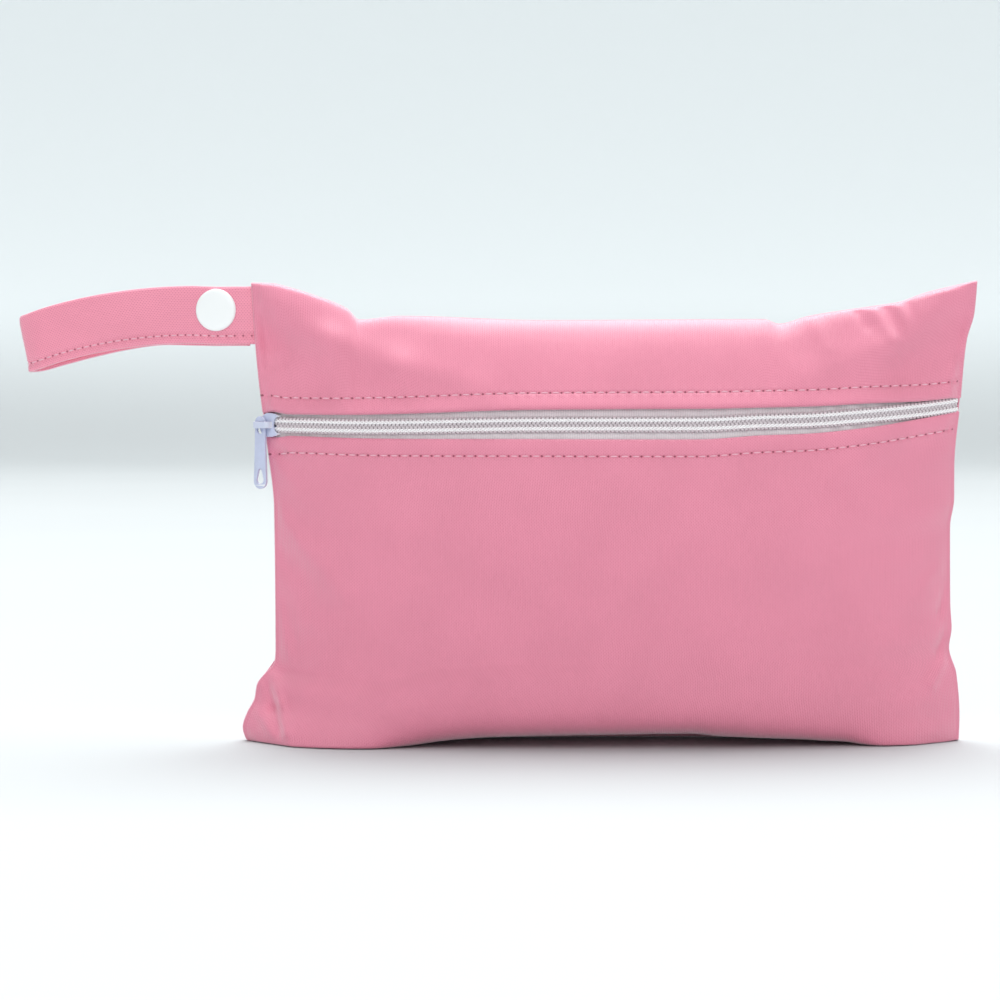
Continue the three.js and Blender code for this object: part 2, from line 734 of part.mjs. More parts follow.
const group = new THREE.Group();
group.add(
  part('bag_body', pouch(), cloth),
  part('zip_tape_upper', zipTape(1), tapeWeave),
  part('zip_tape_lower', zipTape(-1), tapeWeave),
  part('zip_coil_upper', zipCoil(1), coilNylon),
  part('zip_coil_lower', zipCoil(-1), coilNylon),
  part('slider_body', sliderBody(), paintedZinc),
  part('pull_tab', pull(), paintedZinc),
  part('strap', strap(), strapCloth),
  part('snap_cap_front', snapCap(frontCapBase, snapCapThickness, frontPinEnd), whitePlastic),
  part('snap_stud', snapStud(), whitePlastic),
  part('snap_socket', snapSocket(), whitePlastic),
  part('snap_cap_back', snapCap(backCapTop, -snapBackThickness, backPinEnd), whitePlastic),
);

// The origin is the middle of the whole object's footprint, on the surface that it stands on
const bounds = new THREE.Box3().setFromObject(group);
const middle = bounds.getCenter(new THREE.Vector3());
group.position.set(-middle.x, -middle.y, -bounds.min.z);
group.updateMatrixWorld(true);

export default group;
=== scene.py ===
"""Looks of a small cloth wet bag: stuffed pouch, coil zip with its slider, hanging strap and snap.

The file is laid out as an add-on and is run as a script. Shapes are worked out in millimetres in the bag's
own frame (middle of the pouch, plane of its side seams, surface that it stands on) and are then moved into
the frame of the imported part, in metres: +X to the right, +Y to the back, +Z up.
"""

import math

import bmesh
import bpy
import numpy as np
from mathutils import Matrix, Vector
from mathutils.geometry import tessellate_polygon


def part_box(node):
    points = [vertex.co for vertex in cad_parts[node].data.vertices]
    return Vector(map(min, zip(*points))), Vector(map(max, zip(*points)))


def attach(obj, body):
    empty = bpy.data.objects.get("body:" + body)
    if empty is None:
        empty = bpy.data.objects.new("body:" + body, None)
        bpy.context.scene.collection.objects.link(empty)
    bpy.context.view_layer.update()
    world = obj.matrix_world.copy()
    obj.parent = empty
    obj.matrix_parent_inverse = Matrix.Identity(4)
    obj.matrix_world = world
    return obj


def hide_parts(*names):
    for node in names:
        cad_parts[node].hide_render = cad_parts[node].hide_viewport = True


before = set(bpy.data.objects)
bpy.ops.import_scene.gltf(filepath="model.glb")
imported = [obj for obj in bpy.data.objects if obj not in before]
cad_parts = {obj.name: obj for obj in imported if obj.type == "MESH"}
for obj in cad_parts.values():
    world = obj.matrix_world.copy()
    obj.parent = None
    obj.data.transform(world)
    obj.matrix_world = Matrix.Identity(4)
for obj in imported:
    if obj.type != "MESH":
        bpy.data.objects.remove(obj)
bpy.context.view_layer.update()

bl_info = {
    "name": "Cloth Wet Bag",
    "version": (1, 0, 0),
    "blender": (4, 5, 0),
    "location": "View3D > Sidebar > Wet Bag",
    "description": "Dresses the frame of a small cloth bag in knit, coil zip, slider, strap and snap",
    "category": "Object",
}

MM = 0.001

# Pouch, in millimetres
HALF_WIDTH = 106
BAG_HEIGHT = 134.5
FRONT_BULGE = 25
BACK_BULGE = 22
SEAM_ROUND = 0.85
SEAM_MIDDLE = 0.95
UNDER_LIFT = 3
FOOT_SINK = 5
FOOT_SPREAD = 8
FOOT_SOFTNESS = 12
CONTACT_SOFTNESS = 1.2
BACK_SAG = 0.8
BACK_SAG_HEIGHT = 9
FOLD_WIDTH = 4
FOLD_HEIGHT = 2
FOLD_MARGIN = 2.2
PUCKER_MARGIN = 8.8
SPREAD_MARGIN = 14
ZIP_HEIGHT = BAG_HEIGHT - 41.5
WINDOW_HALF = 4.3
STITCH_FROM_HEM = 4.8
STITCH_SHARE = 0.68
STITCH_START = 0.16
HEM_REACH = 7.0
FAR_FROM_HEM = 50.0
POUCH_COLUMNS = 228

# Roundness of the stuffed shape across the bag and up it, and how far the stuffing has sunk
ACROSS_POWER = 2.6
ACROSS_EASE = 0.9
UP_POWER = 2.1
UP_EASE = 0.6
DOWN_POWER = 14
DOWN_EASE = 0.3
SUNK = 0.1

# Zip, in millimetres: depths are measured in from the cloth's outer surface
TAPE_DEPTH = 1.15
TAPE_SINK = 2.2
TAPE_WIDTH = 12.5
TAPE_END = 1 - 1.9 / HALF_WIDTH
ZIP_END = 1 + 0.8 / HALF_WIDTH
COIL_MIDDLE = 1.1
COIL_REACH = 0.98
COIL_DEPTH = 0.55
COIL_RISE = 0.32
COIL_BEHIND_MOUTH = 1.5
COIL_STEPS = 14
CORD_MIDDLE = 1.2
CORD_SPREAD = 0.3
CORD_DEPTH = 0.02
CORD_TWIST_RISE = 0.14
SLIDER_FROM_SEAM = 4.2
SLIDER_ACROSS = -1 + SLIDER_FROM_SEAM / HALF_WIDTH

# Slider and pull, in millimetres from the slider's mouth: levels are measured out of the cloth
UPPER_PLATE = (0.25, 1.1)
LOWER_PLATE = (-3.55, -2.75)
LIPS = (-1.35, 0.5)
PLATE_HALF = 3.5
BRIDGE_HALF = 1.0
PULL_PLACE = -5.43
PULL_LEVELS = (1.35, 2.35)
PULL_TOP = 2.6
PULL_LENGTH = 21.3
PULL_TOP_RADIUS = 1.75
PULL_FOOT_RADIUS = 2.2
PULL_EYE_RADIUS = 1.0
PULL_POST_RADIUS = 0.7
PULL_POST = (0.9, 2.7)

# Strap and snap, in millimetres
STRAP_REACH = 70.2
STRAP_WIDTH = 17
STRAP_HALF = 0.8
STRAP_HEIGHT = BAG_HEIGHT - 9.4
STRAP_ROOT = 2.2
STRAP_BOW = 19.5
STRAP_STEPS = 260
SNAP_ROW = 3
SNAP_ABOVE_STRAP = 1.6
SNAP_SIDES = 64
SNAP_RING_SIDES = 48
SNAP_BACK_LEVEL = -4.7

# Studio, in metres, and the lean of its two lights in degrees
SWEEP_HALF = 7.0
SWEEP_FLOOR = 4.0
SWEEP_RADIUS = 2.0
SWEEP_TOP = 5.0
OVERHEAD_LEAN = -27
FRONT_LEAN = 56
LIGHT_TURN = 4

# Upper fold: place across the bag, height as a share of the bag's
UPPER_FOLD = (
    (-1, 1.001),
    (-0.95, 1.0),
    (-0.905, 0.992),
    (-0.824, 0.972),
    (-0.741, 0.945),
    (-0.708, 0.921),
    (-0.589, 0.929),
    (-0.2, 0.92),
    (0.416, 0.922),
    (0.457, 0.912),
    (0.54, 0.929),
    (0.705, 0.949),
    (0.788, 0.959),
    (0.87, 0.981),
    (1, 1.005),
)

# Underside: place across the bag, lift off the surface as a share of UNDER_LIFT
UNDERSIDE = (
    (-1, 0.6),
    (-0.96, 0),
    (-0.7, 0.05),
    (-0.59, 0.45),
    (-0.41, 0.65),
    (0, 0.95),
    (0.24, 1.05),
    (0.31, 0.8),
    (0.6, 0.42),
    (0.69, 0.7),
    (0.8, 0.3),
    (0.88, 0),
    (0.96, 0.2),
    (1, 0.9),
)

# Side seams: share of the way up, and how far out the left and the right one lie there
LEFT_SEAM = (
    (0, 1),
    (0.02, 1.006),
    (0.052, 1.017),
    (0.083, 1.005),
    (0.113, 0.984),
    (0.144, 0.977),
    (0.17, 0.952),
    (0.19, 0.928),
    (0.22, 0.925),
    (0.52, 0.928),
    (0.65, 0.946),
    (0.76, 0.965),
    (0.86, 0.978),
    (1, 0.99),
)
RIGHT_SEAM = (
    (0, 0.973),
    (0.06, 0.975),
    (0.15, 0.966),
    (0.208, 0.945),
    (0.25, 0.952),
    (0.3, 0.948),
    (0.47, 0.946),
    (0.53, 0.957),
    (0.6, 0.957),
    (0.74, 0.973),
    (0.87, 0.989),
    (0.93, 1.01),
    (1, 1.018),
)

# Corners that the bag stands on: place across, reach, spread to the front and to the back
FEET = (
    (-0.82, 0.25, 1, 0.7),
    (0.86, 0.17, 0.4, 0.9),
)

# Zip opening: place across the bag, height of its middle, half its height, each as a share
ZIP_WINDOW = (
    (-1.03, 1, 0.9),
    (-0.975, 1, 0.88),
    (-0.93, 0.999, 0.74),
    (-0.709, 0.995, 0.8),
    (-0.22, 1.002, 0.98),
    (0.24, 1.003, 1.02),
    (0.416, 1.011, 0.93),
    (0.546, 1.015, 0.91),
    (0.709, 1.028, 0.83),
    (0.897, 1.048, 0.59),
    (1.03, 1.068, 0.49),
)

# Rise of a hem: millimetres in from its edge, millimetres out of the cloth at the lower and the upper hem
HEM_PROFILE = (
    (0, 0.1, 0.1),
    (0.35, 0.4, 0.8),
    (0.9, 0.55, 1.2),
    (2.4, 0.6, 0.85),
    (3.8, 0.42, 0.4),
    (4.4, 0.1, 0.08),
    (4.8, -0.35, -0.35),
    (5.2, -0.06, -0.06),
    (5.9, 0.1, 0.08),
    (7, 0, 0),
)
HEM_ROWS = (0, 0.15, 0.35, 0.6, 0.9, 1.6, 2.4, 3.2, 3.8, 4.15, 4.45, 4.65, 4.8, 4.95, 5.2, 5.55, 6.1, 7)

# Folds: side, both ends across and up as shares, width and height as shares; a valley's height is negative
FOLDS = (
    (-1, -0.938, 0.163, -0.905, 0.09, 0.3, 0.55),
    (-1, -0.905, 0.09, -0.886, 0.03, 0.32, 0.6),
    (-1, -0.957, 0.15, -0.926, 0.075, 0.36, -0.6),
    (-1, -0.926, 0.075, -0.91, 0.03, 0.34, -0.55),
    (-1, -0.985, 0.085, -0.93, 0.027, 0.42, 0.4),
    (-1, -0.924, 0.288, -0.883, 0.19, 0.6, 0.35),
    (-1, -0.9, 0.3, -0.86, 0.2, 0.6, -0.25),
    (-1, -0.924, 0.517, -0.855, 0.44, 0.65, 0.5),
    (-1, -0.855, 0.44, -0.73, 0.331, 0.9, 0.55),
    (-1, -0.9, 0.41, -0.82, 0.33, 1.0, -0.35),
    (-1, -0.918, 0.451, -0.883, 0.425, 0.35, 0.25),
    (-1, -0.96, 0.64, -0.91, 0.632, 0.4, -0.5),
    (-1, -0.932, 0.612, -0.87, 0.57, 0.55, 0.35),
    (-1, -0.97, 0.915, -0.924, 0.866, 1.2, -0.7),
    (-1, -0.924, 0.86, -0.827, 0.782, 1.7, -0.85),
    (-1, -0.93, 0.955, -0.772, 0.876, 1.3, 0.9),
    (-1, -0.772, 0.876, -0.578, 0.815, 1.4, 0.8),
    (-1, -0.578, 0.815, -0.357, 0.77, 1.4, 0.6),
    (-1, -0.65, 0.785, -0.45, 0.76, 1.3, -0.5),
    (-1, -0.954, 0.84, -0.906, 0.855, 0.35, 0.25),
    (-1, -0.96, 0.815, -0.896, 0.826, 0.35, -0.25),
    (-1, -0.954, 0.785, -0.918, 0.795, 0.35, 0.25),
    (-1, 0.7165, 0.955, 0.772, 0.876, 0.4, 0.35),
    (-1, 0.783, 0.97, 0.816, 0.92, 0.4, 0.3),
    (-1, 0.755, 0.96, 0.8, 0.887, 0.35, -0.3),
    (-1, 0.675, 0.95, 0.7055, 0.905, 0.4, -0.35),
    (-1, 0.82, 0.965, 0.8327, 0.924, 0.4, -0.25),
    (-1, 0.55, 0.93, 0.59, 0.86, 0.6, 0.25),
    (-1, 0.9296, 0.975, 0.7636, 0.855, 1.3, 0.75),
    (-1, 0.7636, 0.855, 0.5284, 0.7936, 1.3, 0.6),
    (-1, 0.957, 0.8874, 0.805, 0.811, 1.6, -0.85),
    (-1, 0.805, 0.811, 0.611, 0.778, 1.4, -0.5),
    (-1, 0.957, 0.8285, 0.938, 0.778, 0.5, 0.5),
    (-1, 0.611, 0.582, 0.7636, 0.6475, 1.2, 0.35),
    (-1, 0.64, 0.56, 0.79, 0.61, 1.2, -0.25),
    (-1, 0.91, 0.379, 0.8687, 0.3466, 0.5, 0.3),
    (-1, 0.935, 0.3357, 0.9143, 0.2855, 0.33, -0.5),
    (-1, 0.9378, 0.242, 0.91, 0.2026, 0.33, -0.5),
    (-1, 0.946, 0.2048, 0.888, 0.1285, 0.4, 0.6),
    (-1, 0.963, 0.0915, 0.96, 0.065, 0.3, 0.25),
    (1, -0.92, 0.2, -0.84, 0.05, 1, 0.9),
    (1, 0.92, 0.2, 0.84, 0.05, 1, 0.8),
    (1, -0.9, 0.9, -0.5, 0.7, 2.4, 0.8),
    (1, 0.9, 0.9, 0.5, 0.68, 2.4, 0.8),
)

# Strap: share of its root in the seam, way left of the seam, way back, sag, lean in degrees
STRAP_PATH = (
    (1, 0, 0.002, 0, 0),
    (0, 0, 0.005, 0, 0),
    (0, 0.06, 0.03, 0, 0),
    (0, 0.153, 0.11, 0, 0),
    (0, 0.27, 0.22, -0.02, 0),
    (0, 0.42, 0.33, 0, 3),
    (0, 0.58, 0.42, 0.07, 6),
    (0, 0.72, 0.51, 0.17, 9),
    (0, 0.87, 0.63, 0.32, 10),
    (0, 0.955, 0.75, 0.43, 10),
    (0, 0.988, 0.86, 0.47, 10),
    (0, 0.955, 0.98, 0.46, 10),
    (0, 0.87, 1.06, 0.36, 10),
    (0, 0.72, 1.05, 0.2, 9),
    (0, 0.58, 0.95, 0.08, 6),
    (0, 0.42, 0.75, 0, 3),
    (0, 0.27, 0.49, 0.01, 0),
    (0, 0.165, 0.363, 0.02, 0),
    (0, 0.09, 0.3, 0.02, 0),
    (0, 0.02, 0.25, 0.02, 0),
)

# Side view of the slider's bridge: millimetres along the zip and out of the cloth
BRIDGE = (
    (-7.25, 2.55),
    (-6.9, 2.5),
    (-3.0, 2.5),
    (-2.6, 2.44),
    (-2.47, 1.9),
    (-2.47, 0.9),
    (-1.9, 0.9),
    (-1.9, 2.1),
    (-2.05, 2.75),
    (-2.55, 3.3),
    (-3.3, 3.5),
    (-6.5, 3.5),
    (-7.05, 3.3),
    (-7.3, 2.95),
)

# Half of the strap's section: millimetres up its width, millimetres out of its middle
STRAP_SECTION = (
    (-8.2, 0),
    (-8.45, 0.25),
    (-8.44, 0.55),
    (-8.2, 0.76),
    (-7.6, 0.84),
    (-6.8, 0.74),
    (-6.3, 0.5),
    (-6.0, 0.4),
    (-5.7, 0.5),
    (-5.2, 0.74),
    (-3.5, 0.86),
    (0, 0.9),
    (4, 0.88),
    (6.8, 0.8),
    (7.9, 0.62),
    (8.36, 0.34),
    (8.5, 0),
)
STRAP_STITCH_UP = -6.0
STRAP_STITCH_OUT = 0.4


def smooth(table, column, at):
    """Value of a table's column at places along its first one, on a smooth curve that never overshoots."""
    rows = np.array(table, float)
    x, y = rows[:, 0], rows[:, column]
    run = np.diff(x)
    slope = np.diff(y) / run
    tilt = np.zeros(len(x))
    turning = slope[:-1] * slope[1:] > 0
    first, second = slope[:-1][turning], slope[1:][turning]
    near = (2 * run[1:] + run[:-1])[turning]
    far = (run[1:] + 2 * run[:-1])[turning]
    tilt[1:-1][turning] = (near + far) / (near / first + far / second)
    tilt[0], tilt[-1] = slope[0], slope[-1]
    at = np.clip(at, x[0], x[-1])
    i = np.clip(np.searchsorted(x, at, side="right") - 1, 0, len(x) - 2)
    t = (at - x[i]) / run[i]
    start = (1 + 2 * t) * (1 - t) ** 2 * y[i] + t * (1 - t) ** 2 * run[i] * tilt[i]
    end = t * t * (3 - 2 * t) * y[i + 1] + t * t * (t - 1) * run[i] * tilt[i + 1]
    return start + end


def unit(vectors):
    """Vectors along the last axis, each one long."""
    return vectors / np.maximum(np.linalg.norm(vectors, axis=-1, keepdims=True), 1e-12)


def through(points, count):
    """Evenly spaced points on a smooth curve through a few points."""
    points = np.array(points, float)
    chord = np.concatenate([[0], np.cumsum(np.linalg.norm(np.diff(points[:, :3], axis=0), axis=1))])
    tilt = np.gradient(points, chord, axis=0)
    at = np.linspace(0, chord[-1], count)
    i = np.clip(np.searchsorted(chord, at, side="right") - 1, 0, len(chord) - 2)
    run = (chord[i + 1] - chord[i])[:, None]
    t = (at - chord[i])[:, None] / run
    start = (1 + 2 * t) * (1 - t) ** 2 * points[i] + t * (1 - t) ** 2 * run * tilt[i]
    end = t * t * (3 - 2 * t) * points[i + 1] + t * t * (t - 1) * run * tilt[i + 1]
    return start + end


# Shape of the pouch


def foot_at(across, column):
    """Share of a foot's spread at places across the bag."""
    return sum(foot[column] * np.exp(-(((across - foot[0]) / foot[1]) ** 2)) for foot in FEET)


def lower_at(across):
    """Height of the pouch's lower fold, before the surface stops it."""
    sink = np.minimum(1, foot_at(across, 2) + foot_at(across, 3)) * FOOT_SINK
    return smooth(UNDERSIDE, 1, across) * UNDER_LIFT - sink


def upper_at(across):
    """Height of the pouch's upper fold."""
    return smooth(UPPER_FOLD, 1, across) * BAG_HEIGHT


def middle_at(across):
    """Height of the zip's middle line."""
    return smooth(ZIP_WINDOW, 1, across) * ZIP_HEIGHT


def half_at(across):
    """Half the height of the zip opening."""
    return smooth(ZIP_WINDOW, 2, across) * WINDOW_HALF


def fold_relief(side, x, z):
    """Height of the folds at points of the front and back."""
    total = np.zeros(np.broadcast(side, x, z).shape)
    for fold in FOLDS:
        x0, z0 = fold[1] * HALF_WIDTH, fold[2] * BAG_HEIGHT
        run_x, run_z = fold[3] * HALF_WIDTH - x0, fold[4] * BAG_HEIGHT - z0
        along = np.clip(((x - x0) * run_x + (z - z0) * run_z) / (run_x**2 + run_z**2), 0, 1)
        away = np.hypot(x - x0 - along * run_x, z - z0 - along * run_z) / (fold[5] * FOLD_WIDTH)
        total = total + np.where(side * fold[0] > 0, fold[6] * FOLD_HEIGHT * np.exp(-(away**2)), 0)
    return total


def pucker_relief(side, across, z):
    """Small gathers that the side seams and the folds draw into the cloth."""
    from_seam = (1 - np.abs(across)) * HALF_WIDTH
    wander = 2.1 * np.sin(z / 17 + 1.3 * side) + 0.5 * from_seam / 6
    near_seam = 0.42 * np.exp(-from_seam / 13) * np.sin(2 * math.pi * z / 11.5 + wander + across)
    broad = 0.22 * np.sin(across * 7.3 + z / 21 + side) + 0.14 * np.sin(across * 15.1 - z / 13 + 2 * side)
    return near_seam + broad


def cloth_point(side, across, z, relief=0.0, turn=0.0):
    """Points of the cloth: side is -1 at the front and 1 at the back, turn goes round the side seam."""
    low, high = lower_at(across), upper_at(across)
    share = np.clip((z - low) / (high - low), 0, 1)
    left = -smooth(LEFT_SEAM, 1, share) * HALF_WIDTH + SEAM_ROUND
    right = smooth(RIGHT_SEAM, 1, share) * HALF_WIDTH - SEAM_ROUND
    x = left + (right - left) * (across + 1) / 2 + np.sign(across) * SEAM_ROUND * np.sin(turn)
    s = np.minimum(1, np.abs(across))
    t = 2 * share - 1
    level = np.minimum(1, np.abs(t + SUNK * (1 - t * t)))
    upper, lower = (1 - level**UP_POWER) ** UP_EASE, (1 - level**DOWN_POWER) ** DOWN_EASE
    swell = (1 - s**ACROSS_POWER) ** ACROSS_EASE * np.where(t + SUNK * (1 - t * t) > 0, upper, lower)
    front = side < 0
    bulge = np.where(front, FRONT_BULGE, BACK_BULGE) * swell
    spread = FOOT_SPREAD * np.where(front, foot_at(across, 2), foot_at(across, 3))
    from_seam = (1 - s) * HALF_WIDTH
    from_fold = (1 - np.abs(t)) * HALF_WIDTH
    extra = 0.0
    folds, puckers = fold_relief(side, x, z), pucker_relief(np.sign(side), across, z)
    for margin, height in ((FOLD_MARGIN, folds), (PUCKER_MARGIN, puckers)):
        extra = extra + height * np.minimum(1, from_seam / margin) * np.minimum(1, from_fold / margin)
    extra = extra + relief * np.minimum(1, from_seam / 3)
    near_floor = np.exp(-np.maximum(0, z) / FOOT_SOFTNESS)
    extra = extra + spread * near_floor * np.minimum(1, from_seam / SPREAD_MARGIN)
    seam = SEAM_MIDDLE + SEAM_ROUND * np.cos(turn)
    y = side * (seam + bulge + extra)
    near_fold = np.exp(-np.maximum(0, z - low) / BACK_SAG_HEIGHT)
    sag = BACK_SAG * np.maximum(0, low) * (1 + side) / 2 * near_fold
    rest = (z - sag + np.sqrt((z - sag) ** 2 + CONTACT_SOFTNESS**2)) / 2
    shape = np.broadcast(x, y, rest).shape
    return np.stack([np.broadcast_to(v, shape) for v in (x, y, rest)], axis=-1)


def cloth_normal(across, z):
    """Way out of the front's cloth."""
    step = 0.003
    wide = cloth_point(-1, across + step, z) - cloth_point(-1, across - step, z)
    tall = cloth_point(-1, across, z + step * 100) - cloth_point(-1, across, z - step * 100)
    return unit(np.cross(wide, tall))


# Lines that follow the zip


def zip_base(across):
    """Points of the cloth on the zip's middle line, the way along it and the way out of it."""
    step = 0.004
    inside = np.clip(across, -1 + step, 1 - step)
    before = cloth_point(-1, inside - step, middle_at(inside - step))
    after = cloth_point(-1, inside + step, middle_at(inside + step))
    along = after - before
    along[..., 2] = 0
    along = unit(along)
    out = np.cross(along, np.array([0.0, 0.0, 1.0]))
    base = cloth_point(-1, inside, middle_at(inside)) + along * ((across - inside) * HALF_WIDTH)[..., None]
    return base, along, out


def zip_point(across, rise, depth):
    """Points a rise above the zip's middle line and a depth below the cloth's outer surface."""
    base, _, out = zip_base(across)
    inside = np.clip(across, -1, 1)
    height = middle_at(across) + rise
    step = cloth_point(-1, inside, height)[..., 1] - cloth_point(-1, inside, middle_at(across))[..., 1]
    point = base.copy()
    point[..., 1] += step
    point[..., 2] = height
    return point - out * np.asarray(depth)[..., None]


RUN_PLACES = np.linspace(-1, 1, 801)
RUN_LENGTHS = np.concatenate(
    [[0], np.cumsum(np.linalg.norm(np.diff(zip_base(RUN_PLACES)[0][:, :2], axis=0), axis=1))]
)


def run_at(across):
    """Length of cloth from the left seam to a place across the bag, along the zip."""
    return np.interp(across, RUN_PLACES, RUN_LENGTHS)


def across_at(run):
    """Place across the bag at a length of cloth from the left seam, along the zip."""
    return np.interp(run, RUN_LENGTHS, RUN_PLACES)


# The bag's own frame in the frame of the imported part
ORIGIN = np.array(
    [
        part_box("bag_body")[1].x / MM - RIGHT_SEAM[-1][1] * HALF_WIDTH,
        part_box("strap")[0].y / MM + STRAP_HALF,
        0,
    ]
)


def placed(points):
    """Points of the bag's frame in millimetres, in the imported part's frame in metres."""
    return (np.asarray(points, float).reshape(-1, 3) + ORIGIN) * MM


# Meshes


def add_piece(name, points, faces, material, body="bag", replaces=(), vectors=None, sharp=None):
    """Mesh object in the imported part's frame, on its body and with its finish."""
    mesh = bpy.data.meshes.new(name)
    mesh.from_pydata(placed(points).tolist(), [], [list(map(int, face)) for face in faces])
    for label, values in (vectors or {}).items():
        attribute = mesh.attributes.new(label, "FLOAT_VECTOR", "POINT")
        attribute.data.foreach_set("vector", np.asarray(values, np.float32).ravel())
    work = bmesh.new()
    work.from_mesh(mesh)
    bmesh.ops.recalc_face_normals(work, faces=work.faces)
    work.to_mesh(mesh)
    work.free()
    mesh.shade_smooth()
    if sharp:
        mesh.set_sharp_from_angle(angle=math.radians(sharp))
    mesh.materials.append(material)
    piece = bpy.data.objects.new(name, mesh)
    bpy.context.scene.collection.objects.link(piece)
    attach(piece, body)
    if replaces:
        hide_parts(*replaces)
    return piece


def loft(rings):
    """Points and faces of a closed solid through rings of points."""
    rings = np.asarray(rings, float)
    count, around = rings.shape[:2]
    i, j = np.meshgrid(np.arange(count - 1), np.arange(around), indexing="ij")
    a, b = i * around + j, i * around + (j + 1) % around
    quads = np.stack([a, b, b + around, a + around], axis=-1).reshape(-1, 4).tolist()
    ends = [list(range(around))[::-1], [(count - 1) * around + k for k in range(around)]]
    return rings.reshape(-1, 3), quads + ends


def gathered(solids):
    """Several solids as one list of points and one of faces."""
    points, faces, count = [], [], 0
    for solid_points, solid_faces in solids:
        points.append(np.asarray(solid_points, float).reshape(-1, 3))
        faces += [[count + k for k in face] for face in solid_faces]
        count += len(points[-1])
    return np.concatenate(points), faces


def tube(path, reference, radius, sides, squash=1.0):
    """Tube along a path; the reference says which way its section stands up."""
    path = np.asarray(path, float)
    tangent = unit(np.gradient(path, axis=0))
    wide = unit(np.cross(tangent, reference))
    tall = np.cross(wide, tangent) * squash
    angle = np.linspace(0, 2 * math.pi, sides, endpoint=False)
    radius = np.broadcast_to(radius, (len(path),))[:, None, None]
    offset = np.cos(angle)[None, :, None] * wide[:, None] + np.sin(angle)[None, :, None] * tall[:, None]
    return loft(path[:, None] + radius * offset)


def threads(line, out, starts, length, radius):
    """One thread for each stitch: line and out give points and ways out at lengths along the seam."""
    share = np.linspace(0, 1, 9)
    lift = radius * (2.0 * np.sin(math.pi * share) ** 0.5 - 1.25)
    thick = radius * (0.55 + 0.45 * np.sin(math.pi * share) ** 0.5)
    solids = []
    for start in starts:
        run = start + share * length
        way_out = out(run)
        solids.append(tube(line(run) + way_out * lift[:, None], way_out, thick, 6))
    return gathered(solids)


def inset(loop, amount):
    """Flat loop moved into the material on its left."""
    after = unit(np.roll(loop, -1, axis=0) - loop)
    before = np.roll(after, 1, axis=0)
    normal = unit(np.stack([-(after + before)[:, 1], (after + before)[:, 0]], axis=1))
    reach = np.maximum(0.5, np.sum(normal * np.stack([-after[:, 1], after[:, 0]], axis=1), axis=1))
    return loop + normal * (amount / reach)[:, None]


def slab(loops, bottom, top, bevel, steps=4):
    """Plate with rounded edges between two levels: its outline comes first, then its holes."""
    angle = np.linspace(0, math.pi / 2, steps + 1)
    levels = [(bevel * (1 - math.sin(a)), bottom + bevel * (1 - math.cos(a))) for a in angle]
    levels += [(depth, top + bottom - level) for depth, level in reversed(levels)]
    points, faces, first, last = [], [], [], []
    for loop in loops:
        loop = np.asarray(loop, float)
        count, base = len(loop), len(points)
        for depth, level in levels:
            points += [[x, y, level] for x, y in inset(loop, depth)]
        for i in range(len(levels) - 1):
            for j in range(count):
                a, b = base + i * count + j, base + i * count + (j + 1) % count
                faces.append([a, b, b + count, a + count])
        first.append(list(range(base, base + count)))
        last.append(list(range(len(points) - count, len(points))))
    for rim in (first, last):
        flat = [k for ring in rim for k in ring]
        cut = tessellate_polygon([[Vector(points[k]) for k in ring] for ring in rim])
        faces += [[flat[k] for k in triangle] for triangle in cut]
    return np.array(points), faces


def arc(centre, radius, start, end, count):
    """Points of an arc in the plane, its angles in degrees."""
    angle = np.radians(np.linspace(start, end, count))
    return [(centre[0] + radius * math.cos(a), centre[1] + radius * math.sin(a)) for a in angle]


def box_loop(x0, x1, y0, y1):
    """Corners of a rectangle, anticlockwise."""
    return [(x0, y0), (x1, y0), (x1, y1), (x0, y1)]


def turned(profile, count):
    """Solid turned about the third axis from pairs of radius and height, both ends on the axis."""
    profile = np.array(profile, float)
    angle = np.linspace(0, 2 * math.pi, count, endpoint=False)
    middle = profile[1:-1]
    rings = np.stack(
        [
            middle[:, 0][:, None] * np.cos(angle),
            middle[:, 0][:, None] * np.sin(angle),
            np.broadcast_to(middle[:, 1][:, None], (len(middle), count)),
        ],
        axis=-1,
    )
    return loft(rings)


# Materials


